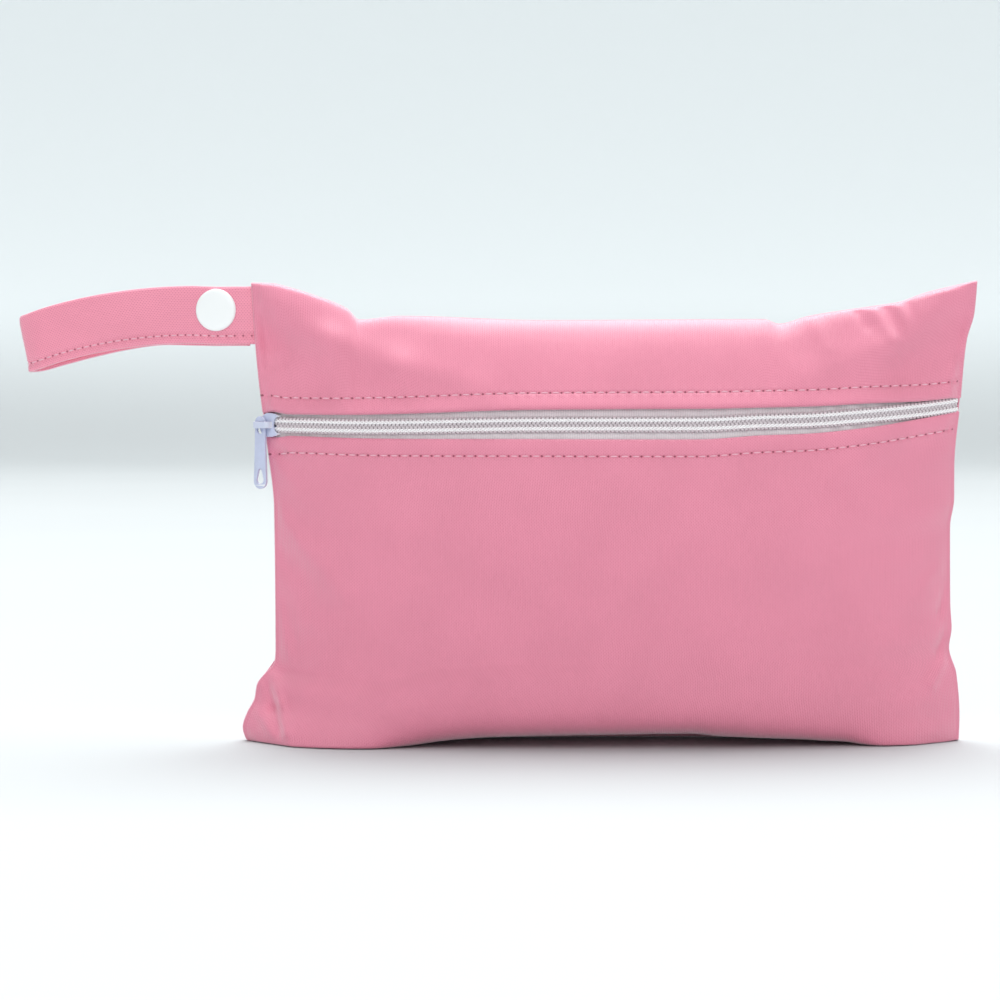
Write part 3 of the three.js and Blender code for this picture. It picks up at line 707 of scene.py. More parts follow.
class Finish:
    """A material and short ways of adding nodes to it."""

    def __init__(self, name):
        self.material = bpy.data.materials.new(name)
        self.material.use_nodes = True
        self.tree = self.material.node_tree
        self.shader = self.tree.nodes["Principled BSDF"]

    def set(self, **values):
        """Values of the shader's sockets; underscores stand for spaces."""
        for key, value in values.items():
            self.shader.inputs[key.replace("_", " ")].default_value = value

    def node(self, kind, **settings):
        """Node of a kind with its settings."""
        made = self.tree.nodes.new(kind)
        for key, value in settings.items():
            setattr(made, key, value)
        return made

    def join(self, value, socket):
        """Links an output to a socket, or writes a number there."""
        if isinstance(value, bpy.types.NodeSocket):
            self.tree.links.new(value, socket)
        else:
            socket.default_value = value

    def math(self, operation, first, second=0.0):
        """Result of a calculation."""
        made = self.node("ShaderNodeMath", operation=operation)
        self.join(first, made.inputs[0])
        self.join(second, made.inputs[1])
        return made.outputs[0]

    def parts(self, label):
        """The three numbers of a mesh attribute."""
        attribute = self.node("ShaderNodeAttribute", attribute_name=label)
        split = self.node("ShaderNodeSeparateXYZ")
        self.tree.links.new(attribute.outputs["Vector"], split.inputs[0])
        return split.outputs[0], split.outputs[1], split.outputs[2]

    def mix(self, share, first, second):
        """Colour between two colours."""
        made = self.node("ShaderNodeMix", data_type="RGBA")
        self.join(share, made.inputs[0])
        self.join(first, made.inputs[6])
        self.join(second, made.inputs[7])
        return made.outputs[2]

    def ramp(self, value, low, high):
        """Value mapped so that low gives 0 and high gives 1, with soft ends."""
        made = self.node("ShaderNodeMapRange", interpolation_type="SMOOTHSTEP")
        self.join(value, made.inputs[0])
        made.inputs[1].default_value = low
        made.inputs[2].default_value = high
        return made.outputs[0]

    def noise(self, scale, detail):
        """Noise over the object's own space, in cells to the metre."""
        made = self.node("ShaderNodeTexNoise")
        made.inputs["Scale"].default_value = scale
        made.inputs["Detail"].default_value = detail
        place = self.node("ShaderNodeTexCoord").outputs["Object"]
        self.tree.links.new(place, made.inputs["Vector"])
        return made.outputs[0]

    def bump(self, height, depth):
        """Bump of a depth in millimetres, on top of what is there."""
        made = self.node("ShaderNodeBump")
        made.inputs["Distance"].default_value = depth * MM
        self.join(height, made.inputs["Height"])
        before = self.shader.inputs["Normal"].links
        if before:
            self.tree.links.new(before[0].from_socket, made.inputs["Normal"])
        self.tree.links.new(made.outputs[0], self.shader.inputs["Normal"])


def colour(values, factor=1.0):
    """Colour with its alpha, made lighter or darker."""
    return (*(min(1.0, c * factor) for c in values), 1.0)


def wave(finish, value, period, shift=0.0):
    """Wave between -1 and 1 with a period in the value's own unit."""
    turns = finish.math("MULTIPLY", value, 2 * math.pi / period)
    return finish.math("SINE", finish.math("ADD", turns, shift))


def knit_material(name, base, hollow_shade, wale, course, stitch):
    """Fine knit: ribs with small staggered pinholes, soft sheen, and needle holes at its stitches; painted
    shade darkens the pinholes, the rib valleys and the needle holes.
    """
    finish = Finish(name)
    finish.set(Roughness=0.46, Sheen_Weight=1.0, Sheen_Roughness=0.4, Specular_IOR_Level=0.75)
    finish.shader.inputs["Sheen Tint"].default_value = (1.0, 0.9, 0.94, 1.0)
    across, up, _ = finish.parts("knit")
    ribs = wave(finish, across, wale)
    stagger = finish.math("MULTIPLY", wave(finish, across, 2 * wale), wave(finish, up, 2 * course))
    pinholes = finish.ramp(stagger, 0.35, 0.95)
    clouds = finish.noise(55, 3.0)
    broad = finish.mix(finish.ramp(clouds, 0.3, 0.7), colour(base, 0.97), colour(base, 1.03))
    # Painted shade: the rib valleys and the pinholes take the darker hollow colour, standing in for the
    # shade in these hollows.
    ribbed = finish.mix(finish.ramp(ribs, -1.2, 1.2), finish.mix(0.25, broad, colour(hollow_shade)), broad)
    cloth = finish.mix(pinholes, ribbed, colour(hollow_shade))
    finish.bump(finish.math("SUBTRACT", ribs, pinholes), 0.03)
    fuzz = finish.noise(4200, 1.0)
    finish.bump(fuzz, 0.02)
    run, off, _ = finish.parts("stitch")
    turn = finish.math("FRACT", finish.math("ADD", finish.math("DIVIDE", run, stitch), 0.5))
    along = finish.math("MULTIPLY", finish.math("SUBTRACT", turn, 0.5), stitch)
    square = finish.math("ADD", finish.math("MULTIPLY", along, along), finish.math("MULTIPLY", off, off))
    away = finish.math("SQRT", square)
    # Painted shade: a dark spot is drawn in each needle hole at the ends of the stitches, where the hole
    # lies in shade.
    hole = finish.ramp(away, 0.42, 0.16)
    pucker = finish.ramp(away, 1.7, 0.1)
    cloth = finish.mix(hole, cloth, colour((0.30, 0.03, 0.07)))
    finish.bump(finish.math("SUBTRACT", 1.0, pucker), 0.28)
    finish.join(cloth, finish.shader.inputs["Base Color"])
    return finish.material


def thread_material(base):
    """Polyester sewing thread with its plies."""
    finish = Finish("sewing_thread")
    finish.set(Roughness=0.45, Sheen_Weight=0.3, Specular_IOR_Level=0.4)
    plies = finish.noise(9000, 1.0)
    tint = finish.mix(finish.ramp(plies, 0.3, 0.7), colour(base, 0.86), colour(base, 1.1))
    finish.join(tint, finish.shader.inputs["Base Color"])
    finish.bump(plies, 0.05)
    return finish.material


def tape_material(base):
    """Satin woven tape: fine ribs along it, broken by its weft."""
    finish = Finish("woven_tape")
    finish.set(Roughness=0.38, Sheen_Weight=0.25, Specular_IOR_Level=0.55)
    along, up, _ = finish.parts("knit")
    ribs = wave(finish, finish.math("ADD", up, finish.math("MULTIPLY", along, 0.35)), 0.42)
    weft = wave(finish, along, 0.5)
    weave = finish.ramp(finish.math("ADD", finish.math("MULTIPLY", ribs, 0.6), weft), -1.4, 1.2)
    shade = finish.noise(70, 3.0)
    light = finish.mix(finish.ramp(shade, 0.3, 0.7), colour(base, 0.94), colour(base, 1.06))
    finish.join(finish.mix(weave, colour(base, 0.78), light), finish.shader.inputs["Base Color"])
    finish.bump(weave, 0.05)
    return finish.material


def nylon_material(name, base, rough):
    """Nylon monofilament or cord."""
    finish = Finish(name)
    finish.set(Roughness=rough, Specular_IOR_Level=0.5, Sheen_Weight=0.15)
    streaks = finish.noise(2600, 2.0)
    tint = finish.mix(finish.ramp(streaks, 0.3, 0.7), colour(base, 0.93), colour(base, 1.04))
    finish.join(tint, finish.shader.inputs["Base Color"])
    finish.bump(streaks, 0.02)
    return finish.material


def enamel_material(base):
    """Enamel on cast zinc: a little orange peel, and a painted highlight that makes its sharp edges
    lighter.
    """
    finish = Finish("slider_enamel")
    finish.set(Roughness=0.33, Specular_IOR_Level=0.5, Coat_Weight=0.35, Coat_Roughness=0.2)
    peel = finish.noise(1500, 2.0)
    geometry = finish.node("ShaderNodeNewGeometry")
    # Painted highlight: sharp, convex edges are coloured paler, as where they catch the light.
    edge_highlight = finish.ramp(geometry.outputs["Pointiness"], 0.52, 0.62)
    tint = finish.mix(finish.ramp(finish.noise(260, 3.0), 0.3, 0.7), colour(base, 0.95), colour(base, 1.04))
    finish.join(finish.mix(edge_highlight, tint, colour((0.86, 0.88, 0.93))), finish.shader.inputs["Base Color"])
    finish.bump(peel, 0.03)
    return finish.material


def snap_material(base):
    """Glossy moulded plastic of the snap."""
    finish = Finish("snap_plastic")
    finish.set(Roughness=0.24, Specular_IOR_Level=0.5, Subsurface_Weight=0.08, Subsurface_Scale=0.002)
    waves = finish.noise(210, 2.0)
    tint = finish.mix(finish.ramp(waves, 0.3, 0.7), colour(base, 0.97), colour(base, 1.02))
    finish.join(tint, finish.shader.inputs["Base Color"])
    finish.bump(waves, 0.04)
    return finish.material


def studio_material(base, upper):
    """Matt sweep of the studio: pale on the floor, and painted paler where it rises, standing in for the
    light on the backdrop.
    """
    finish = Finish("studio_sweep")
    finish.set(Roughness=0.9, Specular_IOR_Level=0.1)
    place = finish.node("ShaderNodeNewGeometry").outputs["Position"]
    split = finish.node("ShaderNodeSeparateXYZ")
    finish.tree.links.new(place, split.inputs[0])
    # Painted light: the sweep turns paler as it rises, standing in for the stronger light on the backdrop.
    rising = finish.ramp(split.outputs[2], 0.02, 0.35)
    clouds = finish.noise(3, 1.0)
    paper = finish.mix(finish.ramp(clouds, 0.3, 0.7), colour(base, 0.99), colour(base, 1.0))
    finish.join(finish.mix(rising, paper, colour(upper)), finish.shader.inputs["Base Color"])
    return finish.material


def shared_material(name, make, *values):
    """A material made once and used by several pieces."""
    return bpy.data.materials.get(name) or make(*values)


# Sizes and colours that a user would change


def length(name, description, millimetres):
    """Length property, kept in metres."""
    return bpy.props.FloatProperty(
        name=name, description=description, default=millimetres * MM, min=0.0, unit="LENGTH", precision=5
    )


def tint(name, description, values):
    """Colour property."""
    return bpy.props.FloatVectorProperty(
        name=name, description=description, default=values, size=3, min=0.0, max=1.0, subtype="COLOR"
    )


class ClothSettings(bpy.types.PropertyGroup):
    """Knit of the pouch and the strap."""

    wale: length("Wale", "Width of one rib of the knit", 0.52)
    course: length("Course", "Height of one row of the knit", 0.44)
    wall: length("Wall", "Thickness of the cloth", 1.0)
    stitch: length("Stitch", "Length of one stitch and its gap", 3.2)
    thread: length("Thread", "Thickness of the sewing thread", 0.5)
    pouch: tint("Pouch", "Colour of the pouch's cloth", (0.845, 0.272, 0.395))
    # The pouch's holes colour is painted shade for the knit's pinholes and the valleys between its ribs.
    pouch_hollow_shade: tint("Pouch holes", "Colour between the pouch's ribs", (0.73, 0.17, 0.265))
    # The strap is the pouch's knit painted a little lighter: painted light for the stronger light that
    # falls on the strap.
    strap: tint("Strap", "Colour of the strap's cloth", (0.95, 0.32, 0.44))
    # The strap's holes colour is painted shade for its knit's pinholes and rib valleys.
    strap_hollow_shade: tint("Strap holes", "Colour between the strap's ribs", (0.70, 0.17, 0.27))
    sewing: tint("Thread colour", "Colour of the sewing thread", (0.95, 0.52, 0.62))


class ZipSettings(bpy.types.PropertyGroup):
    """Tapes, coils and cords of the zip."""

    pitch: length("Pitch", "Way from one turn of the coil to the next", 1.2)
    filament: length("Filament", "Thickness of the coil's filament", 0.7)
    strand: length("Strand", "Thickness of one strand of the sewing cord", 0.52)
    tape_thickness: length("Tape", "Thickness of the tape", 0.5)
    # The tape's pink tint is painted light: it stands in for light bounced onto the grey-white tape from
    # the pink cloth.
    tape: tint("Tape colour", "Colour of the woven tape", (0.84, 0.77, 0.80))
    # The coil's grey is its own; its pink tint is painted light bounced from the pink cloth.
    coil: tint("Coil colour", "Colour of the nylon coil", (0.66, 0.59, 0.62))
    cord: tint("Cord colour", "Colour of the sewing cords", (0.95, 0.93, 0.94))


class HardwareSettings(bpy.types.PropertyGroup):
    """Slider, pull and snap."""

    bevel: length("Edge", "Rounding of the slider's and the pull's edges", 0.22)
    enamel: tint("Enamel", "Colour of the slider and its pull", (0.56, 0.60, 0.78))
    snap: tint("Snap", "Colour of the snap", (0.84, 0.87, 0.89))


class StageSettings(bpy.types.PropertyGroup):
    """Studio and camera."""

    camera_distance: length("Camera distance", "Way from the seam plane to the camera", 800)
    camera_height: length("Camera height", "Height of the camera above the surface", 97.5)
    camera_side: length("Camera side", "Way right of the origin to the camera", 0.45)
    pitch: bpy.props.FloatProperty(
        name="Pitch",
        description="How far the camera looks down",
        default=math.radians(1.9),
        subtype="ANGLE",
        unit="ROTATION",
    )
    lens: bpy.props.FloatProperty(
        name="Lens", description="Focal length of the camera", default=98.2, min=20.0, unit="CAMERA"
    )
    sweep: tint("Floor", "Colour of the sweep's floor", (0.545, 0.575, 0.584))
    # The backdrop's paler colour is painted light on the rising part of the sweep.
    backdrop: tint("Backdrop", "Colour of the sweep where it rises", (0.84, 0.895, 0.91))
    overhead: bpy.props.FloatProperty(
        name="Overhead light", description="Strength of the broad light from above", default=4.3, min=0.0
    )
    breadth: bpy.props.FloatProperty(
        name="Light breadth",
        description="Angle that each of the two lights fills",
        default=math.radians(60),
        subtype="ANGLE",
        unit="ROTATION",
    )
    fill: bpy.props.FloatProperty(
        name="Front light", description="Strength of the broad light from the front", default=1.1, min=0.0
    )
    sky: tint("Sky", "Colour of the light from all round", (0.96, 0.99, 1.0))
    sky_strength: bpy.props.FloatProperty(
        name="Sky strength", description="Strength of the light from all round", default=0.45, min=0.0
    )


# Pouch


def pouch_columns():
    """Places across the bag and turns round its side seams, from the left seam to the right one."""
    even = np.linspace(-1, 1, POUCH_COLUMNS)
    places = 0.7 * even + 0.3 * np.sin(even * math.pi / 2)
    turns = np.radians([35, 70, 100, 130, 160])
    across = np.concatenate([-np.ones(len(turns)), places, np.ones(len(turns))])
    turn = np.concatenate([turns[::-1], np.zeros(len(places)), turns])
    return across, turn


def pouch_rows(across):
    """Side, height, relief and way from the hem of each row, from the lower hem round to the upper one."""
    low, high = lower_at(across), upper_at(across)
    low_hem = middle_at(across) - half_at(across)
    high_hem = middle_at(across) + half_at(across)
    hem = np.array(HEM_ROWS)
    low_relief, high_relief = smooth(HEM_PROFILE, 1, hem), smooth(HEM_PROFILE, 2, hem)
    even = np.linspace(0, 1, 70)[1:]
    front = 0.6 * even + 0.4 * np.sin(even * math.pi / 2)
    even = np.linspace(1, 0, 33)[1:-1]
    crown = 1 - 0.6 * even - 0.4 * np.sin(even * math.pi / 2)
    back = (1 - np.cos(np.linspace(0, math.pi, 42))) / 2
    flat = np.linspace(-1, 1, 5)[1:-1]
    rows = []
    for offset, rise in zip(hem, low_relief):
        rows.append((-1.0, low_hem - offset, rise, offset))
    for share in 1 - front:
        rows.append((-1.0, low + (low_hem - HEM_REACH - low) * share, 0.0, FAR_FROM_HEM))
    rows += [(side, low, 0.0, FAR_FROM_HEM) for side in flat]
    rows += [(1.0, low + (high - low) * share, 0.0, FAR_FROM_HEM) for share in back]
    rows += [(-side, high, 0.0, FAR_FROM_HEM) for side in flat]
    for share in crown:
        rows.append((-1.0, high - (high - high_hem - HEM_REACH) * share, 0.0, FAR_FROM_HEM))
    for offset, rise in zip(hem[::-1], high_relief[::-1]):
        rows.append((-1.0, high_hem + offset, rise, offset))
    side = np.array([row[0] for row in rows])[:, None]
    height = np.stack([np.broadcast_to(row[1], across.shape) for row in rows])
    return side, height, np.array([row[2] for row in rows])[:, None], np.array([row[3] for row in rows])


def make_pouch(cloth):
    """The pouch's cloth wall: one closed solid, open at the zip."""
    across, turn = pouch_columns()
    side, height, relief, from_hem = pouch_rows(across)
    outer = cloth_point(side, across[None, :], height, relief, turn[None, :])
    down = np.gradient(outer, axis=0)
    wide = np.gradient(outer, axis=1)
    normal = unit(np.cross(wide, down))
    centre = np.array([0.0, 0.0, BAG_HEIGHT / 2])
    outward = np.sign(np.sum(normal * (outer - centre), axis=-1).mean())
    normal = normal * outward
    rim_way = np.sign(height - ZIP_HEIGHT / 2) * (1 - np.abs(side))
    round_seam = np.broadcast_arrays(np.sign(across) * np.sin(turn), side * np.cos(turn), rim_way)
    normal = np.where(turn[None, :, None] > 0, unit(np.stack(round_seam, axis=-1)), normal)
    wall = cloth.wall / MM * np.where(turn > 0, 0.45, 1.0)[None, :, None]
    inner = outer - normal * wall
    inner[..., 2] = np.maximum(inner[..., 2], outer[..., 2].min() + 0.2)
    rims = []
    for edge, next_row in ((-1, -2), (0, 1)):
        start, end = (outer[edge], inner[edge]) if edge == -1 else (inner[edge], outer[edge])
        way = unit(outer[edge] - outer[next_row])
        middle, half = (start + end) / 2, (start - end) / 2
        reach = np.linalg.norm(half, axis=1)[:, None]
        bends = [math.radians(a) for a in (30, 60, 90, 120, 150)]
        rims.append(np.stack([middle + half * math.cos(a) + way * reach * math.sin(a) for a in bends]))
    ring = np.concatenate([outer, rims[0], inner[::-1], rims[1]]).transpose(1, 0, 2)
    columns, around = ring.shape[:2]
    i, j = np.meshgrid(np.arange(columns - 1), np.arange(around), indexing="ij")
    a, b = i * around + j, i * around + (j + 1) % around
    faces = np.stack([a, b, b + around, a + around], axis=-1).reshape(-1, 4).tolist()
    rows, rim = len(outer), len(rims[0])
    for base in (0, (columns - 1) * around):
        inside = [base + 2 * rows + rim - 1 - k for k in range(rows)]
        faces += [[base + k, base + k + 1, inside[k + 1], inside[k]] for k in range(rows - 1)]
        faces.append([base + rows - 1 + k for k in range(rim + 2)])
        faces.append([inside[0]] + [base + 2 * rows + rim + k for k in range(rim)] + [base])
    return ring, faces, knit_marks(ring, across, turn, from_hem, rim)


def knit_marks(ring, across, turn, from_hem, rim):
    """Vectors that the cloth's finish reads: place in the knit, and along and off the stitch lines."""
    rows = len(from_hem)
    steps = np.linalg.norm(np.diff(ring[:, :rows], axis=1), axis=2)
    length = np.concatenate([np.zeros((len(across), 1)), np.cumsum(steps, axis=1)], axis=1)
    order = np.concatenate(
        [np.arange(rows), np.full(rim, rows - 1), np.arange(rows)[::-1], np.zeros(rim, int)]
    )
    place = across * HALF_WIDTH + np.sign(across) * turn * SEAM_ROUND
    knit = np.zeros(ring.shape)
    knit[..., 0] = place[:, None]
    knit[..., 1] = length[:, order]
    stitch = np.zeros(ring.shape)
    stitch[..., 0] = run_at(across)[:, None]
    stitch[..., 1] = np.abs(from_hem - STITCH_FROM_HEM)[order]
    return {"knit": knit, "stitch": stitch}


class WETBAG_OT_pouch(bpy.types.Operator):
    """Add the pouch's knit cloth with its hems, seams and folds"""

    bl_idname = "wetbag.pouch"
    bl_label = "Add Pouch"

    def execute(self, context):
        cloth = context.scene.wetbag_cloth
        wale, course, pitch = cloth.wale / MM, cloth.course / MM, cloth.stitch / MM
        material = knit_material("pouch_knit", cloth.pouch, cloth.pouch_hollow_shade, wale, course, pitch)
        points, faces, marks = make_pouch(cloth)
        piece = add_piece(
            "pouch_cloth", points, faces, material, replaces=("bag_body",), vectors=marks
        )
        return {"FINISHED"}


class WETBAG_OT_hem_stitches(bpy.types.Operator):
    """Add the two rows of stitches that hold the hems on the zip"""

    bl_idname = "wetbag.hem_stitches"
    bl_label = "Add Hem Stitches"

    def execute(self, context):
        cloth = context.scene.wetbag_cloth
        pitch, radius = cloth.stitch / MM, cloth.thread / MM / 2
        material = shared_material("sewing_thread", thread_material, cloth.sewing)
        dip = float(smooth(HEM_PROFILE, 1, np.array([STITCH_FROM_HEM]))[0])
        starts = np.arange(1, int(RUN_LENGTHS[-1] / pitch) - 1) * pitch + STITCH_START * pitch
        for way, name in ((1, "hem_stitches_upper"), (-1, "hem_stitches_lower")):

            def line(run, way=way):
                across = across_at(run)
                height = middle_at(across) + way * (half_at(across) + STITCH_FROM_HEM)
                return cloth_point(-1, across, height, dip)

            def out(run, way=way):
                across = across_at(run)
                return cloth_normal(across, middle_at(across) + way * (half_at(across) + STITCH_FROM_HEM))

            points, faces = threads(line, out, starts, STITCH_SHARE * pitch, radius)
            add_piece(name, points, faces, material)
        return {"FINISHED"}


# Zip


def tape_crumple(across, rise):
    """Small waves of the tape where the zip has been pushed together."""
    near = np.exp(-(((across - 0.67) / 0.1) ** 2)) + 0.4
    return 0.16 * near * np.sin(across * 95 + rise * 0.8)


class WETBAG_OT_zip_tapes(bpy.types.Operator):
    """Add the two woven tapes behind the hems"""

    bl_idname = "wetbag.zip_tapes"
    bl_label = "Add Zip Tapes"

    def execute(self, context):
        settings = context.scene.wetbag_zip
        material = shared_material("woven_tape", tape_material, settings.tape)
        thickness = settings.tape_thickness / MM
        across = np.linspace(-TAPE_END, ZIP_END, 260)
        share = np.concatenate([np.linspace(0, 0.45, 12), np.linspace(0.55, 1, 5)])
        parting = 0.15 + 1.3 * np.clip(1 - (across + TAPE_END) * HALF_WIDTH / 5.5, 0, 1)
        for way, name in ((1, "zip_tape_upper"), (-1, "zip_tape_lower")):
            rings, knit = [], []
            for depth, order in ((0, share), (thickness, share[::-1])):
                for part in order:
                    rise = way * (parting + (TAPE_WIDTH - parting) * part)
                    wave_in = tape_crumple(across, rise) * min(1, part * 8)
                    sink = TAPE_SINK * max(0, part - 0.4)
                    rings.append(zip_point(across, rise, TAPE_DEPTH + depth + wave_in + sink))
                    knit.append(np.stack([run_at(across), rise, np.zeros(len(across))], axis=-1))
            points, faces = loft(np.stack(rings, axis=1))
            vectors = {"knit": np.stack(knit, axis=1)}
            add_piece(name, points, faces, material, replaces=(name,), vectors=vectors)
        return {"FINISHED"}


def along_zip(run, rise, height):
    """Points at a length along the zip, a rise from its middle line and a height out of the cloth."""
    across = across_at(run)
    return zip_point(across, rise, -np.asarray(height))


class WETBAG_OT_zip_coils(bpy.types.Operator):
    """Add the two nylon coils and the cords that sew them to the tapes"""

    bl_idname = "wetbag.zip_coils"
    bl_label = "Add Zip Coils"

    def execute(self, context):
        settings = context.scene.wetbag_zip
        coil = shared_material("coil_nylon", nylon_material, "coil_nylon", settings.coil, 0.35)
        cord = shared_material("cord_nylon", nylon_material, "cord_nylon", settings.cord, 0.5)
        pitch = settings.pitch / MM
        first = float(run_at(SLIDER_ACROSS)) - COIL_BEHIND_MOUTH
        last = float(run_at(1.0))
        for way, name in ((1, "upper"), (-1, "lower")):
            turns = (last - first) / pitch
            angle = np.linspace(0, 2 * math.pi * turns, int(turns * COIL_STEPS))
            run = first + angle / (2 * math.pi) * pitch
            shifted = angle + (math.pi if way < 0 else 0)
            rise = way * (COIL_MIDDLE - COIL_REACH * np.cos(shifted))
            height = -COIL_DEPTH + COIL_RISE * np.sin(shifted)
            path = along_zip(run, rise, height)
            reference = zip_base(across_at(run))[1]
            points, faces = tube(path, reference, settings.filament / MM / 2, 8, squash=1.5)
            add_piece(f"zip_coil_{name}", points, faces, coil, replaces=(f"zip_coil_{name}",))
            strands = []
            run = np.linspace(first, last, int((last - first) / 0.2))
            for phase in (0, math.pi):
                twist = 2 * math.pi * run / (2 * pitch) + phase
                spread = CORD_SPREAD * np.cos(twist)
                height = -CORD_DEPTH + CORD_TWIST_RISE * np.sin(twist) * way
                path = along_zip(run, way * CORD_MIDDLE + spread, height)
                out = zip_base(across_at(run))[2]
                strands.append(tube(path, out, settings.strand / MM / 2, 8, squash=0.75))
            points, faces = gathered(strands)
            add_piece(f"zip_cord_{name}", points, faces, cord)
        return {"FINISHED"}


# Slider and pull


def slider_points(points):
    """Points along the zip, up and out of the cloth, from the slider's mouth, in the bag's frame."""
    base, along, out = (values[0] for values in zip_base(np.array([SLIDER_ACROSS])))
    points = np.asarray(points, float)
    return base + points[:, :1] * along + points[:, 1:2] * np.array([0, 0, 1.0]) + points[:, 2:3] * out


def sideways(points):
    """Slab made in the plane of along and out, turned so that its thickness runs up."""
    points = np.asarray(points, float)
    return np.stack([points[:, 0], points[:, 2], points[:, 1]], axis=1)


def shield(length, notch):
    """Outline of a slider plate: a mouth with two horns, wide shoulders and a round nose."""
    mouth = [(0, -2.9), (-notch * 0.8, -1.5), (-notch, 0), (-notch * 0.8, 1.5), (0, 2.9)]
    shoulder = -3.4
    top = [(-0.9, 3.22), (-2, 3.45), (shoulder, PLATE_HALF)]
    nose = []
    for a in np.linspace(0.12, math.pi - 0.12, 15):
        nose.append((shoulder - (length + shoulder) * math.sin(a), PLATE_HALF * math.cos(a)))
    return mouth + top + nose + [(x, -y) for x, y in reversed(top)]


class WETBAG_OT_slider(bpy.types.Operator):
    """Add the slider: two plates, the post between them, the lips and the bridge"""

    bl_idname = "wetbag.slider"
    bl_label = "Add Slider"

    def execute(self, context):
        settings = context.scene.wetbag_hardware
        bevel = settings.bevel / MM
        material = shared_material("slider_enamel", enamel_material, settings.enamel)
        solids = [
            slab([shield(6.4, 1.6)], *UPPER_PLATE, bevel),
            slab([shield(5.4, 0.6)], *LOWER_PLATE, bevel),
            slab([arc((-4.2, 0), 0.8, 0, 345, 24)], -3.0, 0.5, 0.1),
            slab([box_loop(-3.6, -0.1, 2.3, 2.9)], *LIPS, 0.15),
            slab([box_loop(-3.6, -0.1, -2.9, -2.3)], *LIPS, 0.15),
        ]
        bridge, faces = slab([BRIDGE], -BRIDGE_HALF, BRIDGE_HALF, 0.25)
        solids.append((sideways(bridge), faces))
        solids.append(slab([arc((PULL_PLACE, 0), PULL_POST_RADIUS, 0, 345, 24)], *PULL_POST, 0.1))
        points, faces = gathered(solids)
        points = slider_points(points)
        add_piece(
            "slider_cast", points, faces, material, replaces=("slider_body",), sharp=42
        )
        return {"FINISHED"}


class WETBAG_OT_pull(bpy.types.Operator):
    """Add the pull that hangs from the slider"""

    bl_idname = "wetbag.pull"
    bl_label = "Add Pull"

    def execute(self, context):
        settings = context.scene.wetbag_hardware
        material = shared_material("slider_enamel", enamel_material, settings.enamel)
        bottom = PULL_TOP - PULL_LENGTH
        left = [(-1.78, -1.5), (-1.86, -6), (-2.0, -11)]
        outline = arc((0, PULL_TOP - PULL_TOP_RADIUS), PULL_TOP_RADIUS, 0, 180, 21) + left
        outline += arc((0, bottom + PULL_FOOT_RADIUS), PULL_FOOT_RADIUS, 180, 360, 27)
        outline += [(-x, y) for x, y in reversed(left)]
        eye = arc((0, 0), PULL_EYE_RADIUS, 180, 0, 13) + arc((0, -1.6), PULL_EYE_RADIUS, 0, -180, 13)
        foot = bottom + 1.5
        flank = [(0.2, foot + 4.4), (0.6, foot + 3.8), (1.0, foot + 2.4)]
        hole = flank + arc((0, foot + 1.2), 1.25, 20, -200, 21) + [(-x, y) for x, y in reversed(flank)]
        points, faces = slab([outline, eye, hole], *PULL_LEVELS, settings.bevel / MM)
        points = slider_points(points + np.array([PULL_PLACE, 0, 0]))
        node = ("pull_tab",)
        add_piece("pull_cast", points, faces, material, body="pull", replaces=node, sharp=42)
        return {"FINISHED"}


# Strap and snap


SEAM_AT_STRAP = float(cloth_point(-1, np.array([-1.0]), np.array([STRAP_HEIGHT]))[0, 0]) - SEAM_ROUND


def strap_line(count):
    """Points of the strap's middle line, and the ways along it, out of its face and up its width."""
    rows = np.array(STRAP_PATH, float)
    points = np.stack(
        [
            SEAM_AT_STRAP - rows[:, 1] * STRAP_REACH + rows[:, 0] * STRAP_ROOT,
            rows[:, 2] * STRAP_BOW,
            STRAP_HEIGHT - rows[:, 3] * STRAP_WIDTH,
            rows[:, 4],
        ],
        axis=1,
    )
    if count:
        points = through(points, count)
    along = unit(np.gradient(points[:, :3], axis=0))
    lean = np.radians(points[:, 3])
    upright = np.stack([-np.sin(lean), np.zeros(len(lean)), np.cos(lean)], axis=1)
    out = unit(np.cross(upright, along))
    return points[:, :3], along, out, np.cross(along, out)


def strap_wave(run, up):
    """Soft unevenness of the strap's two faces."""
    return 0.12 * np.sin(run / 6.1 + up / 5) + 0.08 * np.sin(run / 2.7 - up / 3)


